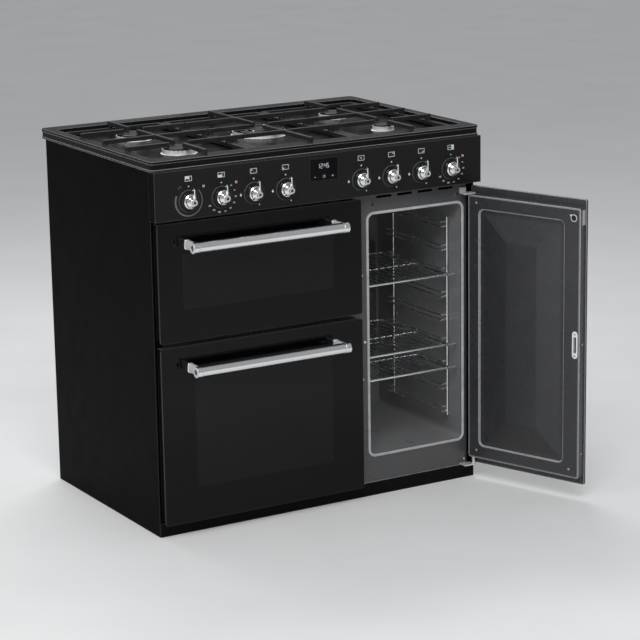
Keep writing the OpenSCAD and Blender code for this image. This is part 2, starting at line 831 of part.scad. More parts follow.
// Five valves on their supply pipe
module gas_valve_rail() {
    x0 = KNOB_XS[GAS_KNOBS[0]];
    color("#b08d4a") {
        for (i = GAS_KNOBS)
            translate([KNOB_XS[i], 0, knob_z])
                difference() {
                    union() {
                        translate([0, valve_y0, 0]) along_y(neck_len + 1, boss_r);
                        block([-valve_w / 2, valve_y0 + neck_len, -valve_h / 2],
                              [valve_w / 2, valve_y0 + neck_len + valve_len, valve_h / 2]);
                    }
                    translate([0, valve_y0 - 1, 0])
                        along_y(spindle_back_y - valve_y0 + push_travel + 2, spindle_r + fit_gap);
                }
        translate([x0 - rail_over, rail_y, knob_z]) along_x(inlet_x - x0 + rail_over + rail_r, rail_r);
        translate([inlet_x, rail_y, knob_z]) along_y(back_y - inlet_reach - rail_y, rail_r);
    }
}

// The three oven switches, each with its shaft
module oven_switches() {
    color(steel)
    for (i = OVEN_KNOBS)
        translate([KNOB_XS[i], 0, knob_z]) {
            translate([0, valve_y0, 0]) along_y(neck_len + 1, boss_r);
            translate([0, spindle_front_y, 0]) along_y(valve_y0 - spindle_front_y + 2, spindle_r);
            block([-switch_w / 2, valve_y0 + neck_len, -switch_h / 2],
                  [switch_w / 2, valve_y0 + neck_len + switch_len, switch_h / 2]);
        }
}

// ---------- ovens ----------

module mouth_hole(cx, z0, w, h, grow, y0, y1) {
    upright(cx - w / 2 - grow, z0 - grow, cx + w / 2 + grow, z0 + h + grow, mouth_r + grow, y0, y1);
}

module front_frame() {
    color(enamel)
    difference() {
        union() {
            block([-inner_hw, frame_y, tray_top_z], [inner_hw, frame_back_y, frame_top_z]);
            for (s = [-1, 1])
                translate([right_mouth_cx + s * buffer_x, frame_y - 1.5, buffer_z]) along_y(2, 6);
        }
        mouth_hole(left_mouth_cx, upper_floor_z, left_mouth_w, upper_mouth_h, 0, frame_y - 1,
                   frame_back_y + 1);
        mouth_hole(left_mouth_cx, lower_floor_z, left_mouth_w, lower_mouth_h, 0, frame_y - 1,
                   frame_back_y + 1);
        mouth_hole(right_mouth_cx, right_floor_z, right_mouth_w, right_mouth_h, 0, frame_y - 1,
                   frame_back_y + 1);
        for (i = [0:slot_n - 1]) {
            x = right_mouth_cx + (i - (slot_n - 1) / 2) * slot_pitch;
            upright(x - slot_w / 2, slot_z - slot_h / 2, x + slot_w / 2, slot_z + slot_h / 2,
                    slot_h / 2 - eps,
                    frame_y - 1, frame_back_y + 1);
        }
    }
}

// An oven liner: a rounded box, open at the front, with a shaft hole where a fan stands behind it
module cavity(cx, z0, w, h, fan_z) {
    difference() {
        mouth_hole(cx, z0, w, h, cavity_t, cavity_y0, cavity_y1 + cavity_t);
        mouth_hole(cx, z0, w, h, 0, cavity_y0 - 1, cavity_y1);
        if (fan_z > 0) translate([cx, cavity_y1 - 1, fan_z]) along_y(cavity_t + 2, fan_shaft_r + 2);
    }
}

module upper_oven_cavity() {
    color(enamel) {
        difference() {
            cavity(left_mouth_cx, upper_floor_z, left_mouth_w, upper_mouth_h, 0);
            for (s = [-1, 1])
                translate([left_mouth_cx + s * element_pitch * (element_n - 1) / 2, cavity_y1 - 1, element_z])
                    along_y(cavity_t + 2, element_r);
        }
        for (s = [-1, 1]) {
            x_wall = left_mouth_cx + s * (left_mouth_w / 2 + eps);
            x_in = left_mouth_cx + s * (left_mouth_w / 2 - ledge_w);
            block([min(x_wall, x_in), cavity_y0 + 25, ledge_z],
                  [max(x_wall, x_in), cavity_y1 - 25, ledge_z + ledge_h]);
        }
    }
}

module lower_oven_cavity() {
    color(enamel) cavity(left_mouth_cx, lower_floor_z, left_mouth_w, lower_mouth_h, lower_mid_z);
}

module right_oven_cavity() {
    color(enamel) cavity(right_mouth_cx, right_floor_z, right_mouth_w, right_mouth_h, right_mid_z);
}

module seal_ring(cx, z0, w, h) {
    difference() {
        mouth_hole(cx, z0, w, h, seal_w, seal_front_y, frame_y);
        mouth_hole(cx, z0, w, h, 0, seal_front_y - 1, frame_y + 1);
    }
}

module left_oven_seals() {
    color(rubber) {
        seal_ring(left_mouth_cx, upper_floor_z, left_mouth_w, upper_mouth_h);
        seal_ring(left_mouth_cx, lower_floor_z, left_mouth_w, lower_mouth_h);
    }
}

module right_oven_seal() {
    color(rubber) seal_ring(right_mouth_cx, right_floor_z, right_mouth_w, right_mouth_h);
}

// A serpentine tube under the upper oven's roof, its two ends through the back wall
module grill_element() {
    x0 = left_mouth_cx - element_pitch * (element_n - 1) / 2;
    y1 = cavity_y1 - 40;
    color(steel) {
        for (i = [0:element_n - 1]) {
            y_end = i == 0 || i == element_n - 1 ? cavity_y1 + 12 : y1;
            translate([x0 + i * element_pitch, element_y0, element_z])
                along_y(y_end - element_y0, element_r - 0.2);
        }
        for (i = [0:element_n - 2]) {
            y = i % 2 == 0 ? element_y0 : y1;
            translate([x0 + i * element_pitch - element_r, y, element_z])
                along_x(element_pitch + 2 * element_r, element_r - 0.2);
        }
    }
}

// A pressed cover with four stand-offs, a round inlet of slots and outlets near its rim
module fan_cover(cx, z, w, h) {
    y = cavity_y1 - cover_front;
    difference() {
        union() {
            upright(cx - w / 2, z - h / 2, cx + w / 2, z + h / 2, 12, y, y + cover_t);
            for (x = [-1, 1], s = [-1, 1])
                translate([cx + x * (w / 2 - 14), y + cover_t - eps, z + s * (h / 2 - 14)])
                    along_y(cover_front - cover_t + eps, 4);
        }
        for (i = [-4:4]) {
            half = sqrt(45 * 45 - i * i * 100);
            block([cx - half, y - 1, z + i * 10 - 2.5], [cx + half, y + cover_t + 1, z + i * 10 + 2.5]);
        }
        for (s = [-1, 1], i = [-2:2])
            block([cx + s * (w / 2 - 26) - 3, y - 1, z + i * 24 - 8],
                  [cx + s * (w / 2 - 26) + 3, y + cover_t + 1, z + i * 24 + 8]);
    }
}

module fan_covers() {
    color(enamel) {
        fan_cover(left_mouth_cx, lower_mid_z, cover_w_left, cover_h_left);
        fan_cover(right_mouth_cx, right_mid_z, cover_w_right, cover_h_right);
    }
}

// A fan wheel with its shaft: a disc, radial blades and a hub
module oven_fan(cx, z) {
    y = cavity_y1 - cover_front + cover_t + fan_behind_cover;
    color(steel)
    translate([cx, y, z]) {
        translate([0, fan_t - 1.5, 0]) along_y(1.5, fan_r);
        along_y(fan_t, 9);
        for (i = [0:fan_blades - 1])
            rotate([0, i * 360 / fan_blades, 0])
                translate([28, 0, -0.75]) cube([fan_r - 29, fan_t - 1, 1.5]);
        along_y(cavity_y1 + cavity_t + 14 - y, fan_shaft_r);
    }
}

module lower_oven_fan() oven_fan(left_mouth_cx, lower_mid_z);
module right_oven_fan() oven_fan(right_mouth_cx, right_mid_z);

// The two fan motors, bolted behind the ovens
module fan_motors() {
    color(steel)
    for (p = [[left_mouth_cx, lower_mid_z], [right_mouth_cx, right_mid_z]])
        translate([p[0], cavity_y1 + cavity_t, p[1]])
            difference() {
                union() {
                    along_y(motor_len, motor_r);
                    block([-motor_r - 16, 0, -9], [motor_r + 16, 3, 9]);
                }
                translate([0, -1, 0]) along_y(20, fan_shaft_r + fit_gap);
            }
}

// ---------- racks and shelves ----------

// One ladder of U-shaped rungs on two uprights; x_wall is the oven's wall and s points into the oven
module rack(x_wall, s, z0, levels) {
    x_up = x_wall + s * rack_wall_gap;
    x_rung = x_wall + s * rung_out;
    z1 = z0 + (levels - 1) * rung_pitch + rung_pair;
    for (y = [rack_front_y, rack_rear_y]) {
        translate([x_up, y, z0 - rack_over]) cylinder(h = z1 - z0 + 2 * rack_over, r = upright_r);
        for (z = [z0 - rack_over + 4, z1 + rack_over - 4])
            translate([min(x_wall, x_up), y, z]) along_x(rack_wall_gap, upright_r - 0.4);
    }
    for (i = [0:levels - 1], dz = [0, rung_pair]) {
        z = z0 + i * rung_pitch + dz;
        translate([x_rung, rack_front_y - rung_r, z])
            along_y(rack_rear_y - rack_front_y + 2 * rung_r, rung_r);
        for (y = [rack_front_y, rack_rear_y])
            translate([min(x_up, x_rung), y, z]) along_x(abs(x_rung - x_up), rung_r - 0.15);
    }
}

module side_racks() {
    color(chrome)
    for (s = [-1, 1]) {
        rack(right_mouth_cx + s * right_mouth_w / 2, -s, right_rung_z0, right_levels);
        rack(left_mouth_cx + s * left_mouth_w / 2, -s, left_rung_z0, left_levels);
    }
}

// A wire shelf whose frame rests on the rungs at height z
module wire_shelf(cx, mouth_w, z) {
    side_x = mouth_w / 2 - rung_out - 1;
    bar_hw = mouth_w / 2 - 6;
    y0 = shelf_front_y;
    y1 = cavity_y1 - shelf_rear_gap;
    grid_n = floor(side_x / grid_pitch);
    color(chrome)
    translate([cx, 0, z]) {
        translate([-bar_hw, y0, 0]) along_x(2 * bar_hw, shelf_wire_r + 0.5);
        translate([-side_x - shelf_wire_r, y1, 0]) along_x(2 * side_x + 2 * shelf_wire_r, shelf_wire_r);
        for (s = [-1, 1]) translate([s * side_x, y0, 0]) along_y(y1 - y0, shelf_wire_r);
        for (i = [-grid_n:grid_n])
            if (abs(i) * grid_pitch < side_x - 4)
                translate([i * grid_pitch, y0, 1]) along_y(y1 - y0, grid_wire_r);
        translate([-side_x + 1.5, (y0 + y1) / 2, -1]) along_x(2 * side_x - 3, shelf_wire_r - 0.5);
    }
}

// Levels are counted from the bottom pair of rungs, 0 upwards
module right_shelf(level)
    wire_shelf(right_mouth_cx, right_mouth_w, right_rung_z0 + level * rung_pitch + shelf_seat);
module right_shelf_top() right_shelf(right_levels - 3);
module right_shelf_middle() right_shelf(right_levels - 6);
module right_shelf_bottom() right_shelf(right_levels - 7);
module lower_oven_shelf()
    wire_shelf(left_mouth_cx, left_mouth_w, left_rung_z0 + 2 * rung_pitch + shelf_seat);

// The grill pan hangs by its rim on the upper oven's ledges
module grill_pan() {
    hw = left_mouth_w / 2 - pan_clear;
    in_hw = left_mouth_w / 2 - ledge_w - pan_clear;
    z1 = ledge_z + ledge_h + pan_wall;
    y0 = cavity_y0 + 30;
    y1 = cavity_y1 - pan_rear_gap;
    color(enamel)
    translate([left_mouth_cx, 0, 0])
    difference() {
        union() {
            block([-hw, y0, z1 - pan_wall], [hw, y1, z1]);
            block([-in_hw, y0 + 8, z1 - pan_h], [in_hw, y1 - 8, z1 - pan_wall + eps]);
        }
        block([-in_hw + pan_wall, y0 + 8 + pan_wall, z1 - pan_h + pan_wall],
              [in_hw - pan_wall, y1 - 8 - pan_wall, z1 + 1]);
    }
}

// ---------- left doors ----------

// X of the two hinge arms of a left door
function hinge_xs() = [left_door_x0 + hinge_inset, left_door_x1 - hinge_inset];

module door_glass(z0, z1) {
    color(black) upright(left_door_x0, z0, left_door_x1, z1, corner_r, front_y, glass_back_y);
}

// The pan behind the glass, with its window, the inner pane and the ears for the hinge pins
module door_liner(z0, z1) {
    x0 = left_door_x0 + liner_inset;
    x1 = left_door_x1 - liner_inset;
    b0 = z0 + liner_lift;
    b1 = z1 - 1;
    wx0 = x0 + window_side;
    wx1 = x1 - window_side;
    wz0 = z0 + window_low;
    wz1 = b1 - window_top;
    hz = z0 + left_hinge_rise;
    color(enamel)
    difference() {
        union() {
            difference() {
                upright(x0, b0, x1, b1, corner_r, glass_back_y, door_back_y);
                upright(x0 + liner_t, b0 + liner_t, x1 - liner_t, b1 - liner_t, corner_r - liner_t,
                        glass_back_y - 1, door_back_y - liner_t);
            }
            for (x = hinge_xs(), s = [-1, 1])
                block([x + s * (hinge_slot / 2 + hinge_ear_w / 2) - hinge_ear_w / 2, glass_back_y, b0],
                      [x + s * (hinge_slot / 2 + hinge_ear_w / 2) + hinge_ear_w / 2, door_back_y, hz + 10]);
        }
        upright(wx0, wz0, wx1, wz1, 8, door_back_y - liner_t - 1, door_back_y + 1);
        for (x = hinge_xs()) {
            block([x - hinge_slot / 2, glass_back_y - 1, z0 - 1],
                  [x + hinge_slot / 2, door_back_y + 1, hz + 10]);
            translate([x - hinge_slot / 2 - hinge_ear_w - 1, left_hinge_y, hz])
                along_x(hinge_slot + 2 * hinge_ear_w + 2, hinge_pin_r + fit_gap);
        }
    }
    color("#0d1014")
        upright(wx0 - pane_lap, wz0 - pane_lap, wx1 + pane_lap, wz1 + pane_lap, 8,
                door_back_y - liner_t - pane_t, door_back_y - liner_t);
}

// A bar handle across a door: bar, end collars with sunk end faces, and two flat arms
module bar_handle(x0, x1, z) {
    y = front_y - bar_out;
    color(chrome)
    difference() {
        union() {
            translate([x0, y, z]) along_x(x1 - x0, bar_r);
            for (x = [x0, x1 - collar_w]) translate([x, y, z]) along_x(collar_w, collar_r);
            for (x = [x0 + bar_arm_in, x1 - bar_arm_in - bar_arm_w])
                upright(x, z - bar_arm_h / 2, x + bar_arm_w, z + bar_arm_h / 2, bar_arm_r, y, front_y);
        }
        for (x = [x0 - 1, x1 - bar_recess_t]) translate([x, y, z]) along_x(bar_recess_t + 1, bar_recess_r);
    }
}

module upper_door_glass() door_glass(upper_door_z0, upper_door_z1);
module lower_door_glass() door_glass(door_low_z, lower_door_z1);
module upper_door_liner() door_liner(upper_door_z0, upper_door_z1);
module lower_door_liner() door_liner(door_low_z, lower_door_z1);
module upper_door_handle()
    bar_handle(left_door_x0 + bar_side, left_door_x1 - bar_side, upper_door_z1 - bar_drop);
module lower_door_handle()
    bar_handle(left_door_x0 + bar_side, left_door_x1 - bar_side, lower_door_z1 - bar_drop);

// Four arms on the front frame, each with a pin that a left door turns on
module left_door_hinges() {
    color(steel)
    for (z0 = [door_low_z, upper_door_z0], x = hinge_xs()) {
        z = z0 + left_hinge_rise;
        translate([x - hinge_bar_w / 2, left_hinge_y, z]) along_x(hinge_bar_w, hinge_end_r);
        block([x - hinge_bar_w / 2, left_hinge_y, z - hinge_end_r],
              [x + hinge_bar_w / 2, frame_y, z + hinge_end_r]);
        translate([x - hinge_slot / 2 - hinge_ear_w + 1, left_hinge_y, z])
            along_x(hinge_slot + 2 * hinge_ear_w - 2, hinge_pin_r);
    }
}

// ---------- tall right door ----------

module right_door_skin() {
    color(black)
    tall_door_pose()
        upright(tall_x0, tall_low_z, tall_x1, tall_top_z, corner_r, front_y, skin_back_y);
}

// The enamelled inner box, its sunk panel with a raised pyramid, and the bores for the hinge pins
module right_door_liner() {
    px0 = box_x0 + panel_free_side;
    px1 = box_x1 - panel_side;
    pz0 = box_z0 + panel_end;
    pz1 = box_z1 - panel_end;
    color(enamel)
    tall_door_pose() {
        difference() {
            upright(box_x0, box_z0, box_x1, box_z1, corner_r, skin_back_y, door_back_y);
            difference() {
                upright(box_x0 + liner_t, box_z0 + liner_t, box_x1 - liner_t, box_z1 - liner_t,
                        corner_r - liner_t,
                        skin_back_y - 1, door_back_y - panel_depth - liner_t);
                for (z = [box_z0, box_z1 - pin_reach - 4])
                    block([hinge_x - 12, skin_back_y, z], [box_x1, door_back_y, z + pin_reach + 4]);
            }
            upright(px0, pz0, px1, pz1, 14, door_back_y - panel_depth, door_back_y + 1);
            for (z = [box_z0 - 1, box_z1 - pin_reach])
                translate([hinge_x, hinge_y, z]) cylinder(h = pin_reach + 1, r = hinge_pin_r + fit_gap);
            block([box_x0 + 9, door_back_y - 3, catch_z - 22], [box_x0 + 17, door_back_y + 1, catch_z + 22]);
        }
        hull() {
            block([px0 + 12, door_back_y - panel_depth - 0.5, pz0 + 12],
                  [px1 - 12, door_back_y - panel_depth, pz1 - 12]);
            block([px0 + pyramid_side, door_back_y - 1.5, pz0 + pyramid_end],
                  [px1 - pyramid_side, door_back_y - 1, pz1 - pyramid_end]);
        }
    }
}

module right_door_handle() {
    tall_door_pose() bar_handle(tall_x0 + bar_side, tall_x1 - bar_side, upper_door_z1 - bar_drop);
}

// Hinge arms with pins at the top and bottom of the tall door, and the catch that holds it shut
module right_door_hardware() {
    color(chrome) {
        // Upper arm, its pin points down; lower arm, its pin points up
        for (up = [0, 1]) {
            z = up == 1 ? box_z1 + arm_gap : tall_low_z - arm_gap - arm_t;
            z_pin = up == 1 ? box_z1 - pin_reach + 1 : tall_low_z - arm_gap - arm_t;
            pin_len = up == 1 ? pin_reach + arm_gap : box_z0 + pin_reach - 1 - z_pin;
            translate([hinge_x, hinge_y, z]) cylinder(h = arm_t, r = arm_front);
            block([hinge_x - arm_x, hinge_y - arm_front, z], [fold_x - 1, frame_y, z + arm_t]);
            block([fold_x - 1 - eps, hinge_y - arm_front, z], [hinge_x, side_front_y - 1, z + arm_t]);
            if (up == 1)
                block([hinge_x - arm_x, frame_y - 3.5, z], [fold_x - 1, frame_y, z + arm_t + 12]);
            translate([hinge_x, hinge_y, z_pin]) cylinder(h = pin_len, r = hinge_pin_r);
        }
    }
    color(steel)
        translate([box_x0 + 13, door_back_y - 2, catch_z]) along_y(frame_y - door_back_y + 2, 3);
}

plinth_frame();
levelling_feet();
base_tray();
side_panel_left();
side_panel_right();
back_panel();
hob_top();
control_fascia();
front_frame();
upper_oven_cavity();
lower_oven_cavity();
right_oven_cavity();
left_oven_seals();
right_oven_seal();
grill_element();
fan_covers();
fan_motors();
lower_oven_fan();
right_oven_fan();
side_racks();
right_shelf_top();
right_shelf_middle();
right_shelf_bottom();
lower_oven_shelf();
grill_pan();
burner_cups();
burner_crowns();
burner_caps();
spark_plugs();
gas_valve_rail();
oven_switches();
clock_module();
knob_upper_oven();
knob_lower_oven();
knob_right_oven();
knob_burner_1();
knob_burner_2();
knob_burner_3();
knob_burner_4();
knob_burner_5();
spindle_burner_1();
spindle_burner_2();
spindle_burner_3();
spindle_burner_4();
spindle_burner_5();
pan_support_left();
pan_support_middle();
pan_support_right();
upper_door_glass();
upper_door_liner();
upper_door_handle();
lower_door_glass();
lower_door_liner();
lower_door_handle();
right_door_skin();
right_door_liner();
right_door_handle();
left_door_hinges();
right_door_hardware();
service_inlets();
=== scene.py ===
import math

import bmesh
import bpy
from mathutils import Matrix, Vector


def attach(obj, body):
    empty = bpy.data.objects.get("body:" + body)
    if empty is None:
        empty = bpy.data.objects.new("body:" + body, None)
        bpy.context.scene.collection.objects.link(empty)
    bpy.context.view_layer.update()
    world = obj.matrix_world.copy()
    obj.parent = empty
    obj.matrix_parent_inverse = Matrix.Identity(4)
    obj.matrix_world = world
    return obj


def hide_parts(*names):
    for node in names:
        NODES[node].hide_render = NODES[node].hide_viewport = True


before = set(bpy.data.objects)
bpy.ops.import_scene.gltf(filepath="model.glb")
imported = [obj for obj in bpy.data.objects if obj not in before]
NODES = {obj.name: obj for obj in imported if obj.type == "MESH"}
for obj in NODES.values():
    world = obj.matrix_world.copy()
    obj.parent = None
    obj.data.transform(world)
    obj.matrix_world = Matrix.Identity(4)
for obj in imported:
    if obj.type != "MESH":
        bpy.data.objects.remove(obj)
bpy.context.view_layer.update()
MM = 0.001

# ---------- places, in millimetres, as in the part's source ----------
FRONT_Y = -309.0  # the front faces of the fascia and the doors
DOOR_BACK_Y = -282.0  # the doors' inner faces
PANE_Y = -284.0  # the inner panes' faces, sunk into the drop-down doors
FRAME_Y = -278.0  # the front frame
BACK_Y = 278.0  # the back panel's outer face
BOX_Y = 298.0  # the terminal box's outer face
WELL_Z = 880.0  # the hob's well
HANDLE_OUT = 45.0  # from the front to a handle bar's axis
KNOB_Z = 803.0
KNOB_BACK_Y = -312.4
KNOB_END_Y = -339.4
SUPPORT_PITCH = 284.0
KNOB_XS = [-359.9, -274.6, -189.3, -104.0, 104.0, 189.3, 274.6, 359.9]
KNOB_BODIES = ["upper_oven_dial", "lower_oven_dial", "burner_1_dial", "burner_2_dial", "burner_3_dial",
               "burner_4_dial", "burner_5_dial", "right_oven_dial"]
DISPLAY = (-37.5, 813.0, 37.5, 865.0)  # the clock's window: x0, z0, x1, z1
CLOCK_Y = -309.8
RIGHT_CX = 275.75
HINGE = Vector((435.0, -297.0, 0.0))
OPEN = math.radians(110.0)
# Takes a shape drawn with the tall door shut to the door's rest pose
TALL = Matrix.Translation(HINGE) @ Matrix.Rotation(OPEN, 4, "Z") @ Matrix.Translation(-HINGE)


# ---------- node material helpers ----------

BEVEL_SAMPLES = 8

class Mat:
    """A node material with a Principled shader and short helpers for its texture nodes."""

    def __init__(self, name, base, metallic=0.0, rough=0.5, spec=None):
        self.m = bpy.data.materials.new(name)
        self.m.use_nodes = True
        self.nt = self.m.node_tree
        self.nt.nodes.clear()
        self.out = self.nt.nodes.new("ShaderNodeOutputMaterial")
        self.p = self.nt.nodes.new("ShaderNodeBsdfPrincipled")
        self.nt.links.new(self.p.outputs["BSDF"], self.out.inputs["Surface"])
        self.p.inputs["Base Color"].default_value = (*base, 1)
        self.p.inputs["Metallic"].default_value = metallic
        self.p.inputs["Roughness"].default_value = rough
        if spec is not None:
            self.p.inputs["Specular IOR Level"].default_value = spec
        self.bevel_normal = None
        tex = self.nt.nodes.new("ShaderNodeTexCoord")
        self.coord, self.normal = tex.outputs["Object"], tex.outputs["Normal"]

    def link(self, a, b):
        self.nt.links.new(a, b)

    def scaled(self, sx, sy, sz):
        n = self.nt.nodes.new("ShaderNodeMapping")
        self.link(self.coord, n.inputs["Vector"])
        n.inputs["Scale"].default_value = (sx, sy, sz)
        return n.outputs["Vector"]

    def noise(self, scale, detail=3.0, rough=0.5, vector=None):
        n = self.nt.nodes.new("ShaderNodeTexNoise")
        n.inputs["Scale"].default_value = scale
        n.inputs["Detail"].default_value = detail
        n.inputs["Roughness"].default_value = rough
        self.link(vector or self.coord, n.inputs["Vector"])
        return n.outputs["Fac"]

    def voronoi(self, scale):
        n = self.nt.nodes.new("ShaderNodeTexVoronoi")
        n.inputs["Scale"].default_value = scale
        self.link(self.coord, n.inputs["Vector"])
        return n

    def axes(self, vector):
        """The X, Y and Z outputs of a vector."""
        n = self.nt.nodes.new("ShaderNodeSeparateXYZ")
        self.link(vector, n.inputs["Vector"])
        return n.outputs

    def range(self, fac, a0, a1, b0, b1):
        n = self.nt.nodes.new("ShaderNodeMapRange")
        self.link(fac, n.inputs["Value"])
        for k, v in zip(("From Min", "From Max", "To Min", "To Max"), (a0, a1, b0, b1)):
            n.inputs[k].default_value = v
        return n.outputs["Result"]

    def math(self, op, a, b=None):
        n = self.nt.nodes.new("ShaderNodeMath")
        n.operation = op
        for i, v in enumerate((a, b)):
            if v is None:
                continue
            if isinstance(v, (int, float)):
                n.inputs[i].default_value = v
            else:
                self.link(v, n.inputs[i])
        return n.outputs["Value"]

    def mix(self, fac, a, b):
        """Colour a where fac is 0, colour b where it is 1."""
        n = self.nt.nodes.new("ShaderNodeMix")
        n.data_type = "RGBA"
        for key, v in ((0, fac), (6, a), (7, b)):
            if isinstance(v, (int, float)):
                n.inputs[key].default_value = v
            elif isinstance(v, tuple):
                n.inputs[key].default_value = (*v, 1)
            else:
                self.link(v, n.inputs[key])
        return n.outputs[2]

    def colour(self, socket):
        self.link(socket, self.p.inputs["Base Color"])

    def rough(self, socket):
        self.link(socket, self.p.inputs["Roughness"])

    def bump(self, height, strength, distance=0.0005, edge=0.0):
        """Fine relief, with the edges rounded by edge metres."""
        n = self.nt.nodes.new("ShaderNodeBump")
        n.inputs["Strength"].default_value = strength
        n.inputs["Distance"].default_value = distance
        self.link(height, n.inputs["Height"])
        if edge:
            self.link(self.bevel(edge), n.inputs["Normal"])
        self.link(n.outputs["Normal"], self.p.inputs["Normal"])

    def bevel(self, radius):
        """The normal with the edges rounded; one node serves both bump and edges."""
        if self.bevel_normal is None:
            b = self.nt.nodes.new("ShaderNodeBevel")
            b.samples = BEVEL_SAMPLES
            b.inputs["Radius"].default_value = radius
            self.bevel_normal = b.outputs["Normal"]
        return self.bevel_normal

    def edges(self, radius):
        """1 along the rounded edges, 0 on the faces; it places the painted edge highlights."""
        g = self.nt.nodes.new("ShaderNodeNewGeometry")
        d = self.nt.nodes.new("ShaderNodeVectorMath")
        d.operation = "DOT_PRODUCT"
        self.link(self.bevel(radius), d.inputs[0])
        self.link(g.outputs["Normal"], d.inputs[1])
        return self.range(d.outputs["Value"], 0.84, 0.985, 1, 0)

    def wander(self, scale, detail, low, high, a, b):
        """Noise between low and high becomes a blend of colours, or of numbers, a and b."""
        fac = self.noise(scale, detail)
        if isinstance(a, tuple):
            return self.mix(self.range(fac, low, high, 0, 1), a, b)
        return self.range(fac, low, high, a, b)


def shade(c, k):
    return tuple(min(1.0, x * k) for x in c)


def speckled(name, base, rough, fleck=1.5, spec=None, edge=0.0, painted_edge_highlight=None, peel=0.06, painted_facet_shade=False):
    """Vitreous enamel: faint cloudiness, tiny flecks, orange peel and uneven gloss, with a painted highlight along the
    rounded edges and, for the tall door's panel, painted facet shading.
    """
    spread = 0.06
    m = Mat(name, base, rough=rough, spec=spec)
    cloud = m.noise(6, 4)
    fine = m.voronoi(900)
    flecks = m.range(fine.outputs["Distance"], 0.10, 0.16, 1, 0)
    sparse = m.range(m.noise(160, 1), 0.60, 0.66, 0, 1)
    body = m.mix(m.range(cloud, 0.3, 0.7, 0, 1), shade(base, 1 - spread), shade(base, 1 + spread))
    if painted_facet_shade:
        # The tall door's inner panel: painted light and shade, the enamel lighter or darker by which way each pressed
        # facet faces, lightest on those that face up
        n = m.axes(m.normal)
        across = m.math("ADD", m.math("MULTIPLY", n["X"], math.cos(OPEN)),
                        m.math("MULTIPLY", n["Y"], math.sin(OPEN)))
        tilt = m.math("SUBTRACT", m.math("MULTIPLY", n["Z"], 6.0), m.math("MULTIPLY", across, 3.5))
        body = m.mix(m.range(tilt, -0.5, 0.5, 0, 1), shade(base, 0.55), shade(base, 1.45))
    colour = m.mix(m.math("MULTIPLY", flecks, sparse), body, shade(base, fleck))
    # Painted highlight: a lighter grey along the rounded edges, where light would catch them
    if painted_edge_highlight:
        colour = m.mix(m.edges(edge), colour, (painted_edge_highlight, painted_edge_highlight, painted_edge_highlight * 1.02))
    m.colour(colour)
    m.rough(m.range(m.noise(22, 5), 0.3, 0.7, rough * 0.82, rough * 1.18))
    m.bump(m.noise(340, 2), peel, 0.0003, edge)
    return m.m


def metal(name, base, rough, stretch=(1, 1, 1), scale=300, grain=0.05, edge=0.0, tint=0.05, metallic=1.0):
    """Bare or plated metal with a grain along one direction and soft handling marks."""
    m = Mat(name, base, metallic=metallic, rough=rough)
    g = m.noise(scale, 4, 0.6, m.scaled(*stretch))
    m.colour(m.wander(9, 3, 0.3, 0.7, shade(base, 1 - tint), shade(base, 1 + tint)))
    marks = m.range(m.noise(30, 5, 0.6), 0.45, 0.75, 0, rough * 0.25)
    m.rough(m.math("ADD", m.range(g, 0.25, 0.75, rough * 0.85, rough * 1.15), marks))
    m.bump(g, grain, 0.0002, edge)
    return m.m


def mottled(name, base, rough, tone, gloss, relief=None, spec=None, glow=None):
    """Wandering tone and gloss; relief is (noise scale, detail, strength, edge radius), glow (colour, strength)."""
    m = Mat(name, base, rough=rough, spec=spec)
    m.colour(m.wander(*tone))
    m.rough(m.wander(*gloss))
    if relief:
        scale, detail, strength, edge = relief
        m.bump(m.noise(scale, detail), strength, 0.0002, edge)
    if glow:
        m.p.inputs["Emission Color"].default_value = (*glow[0], 1)
        m.p.inputs["Emission Strength"].default_value = glow[1]
    return m.m


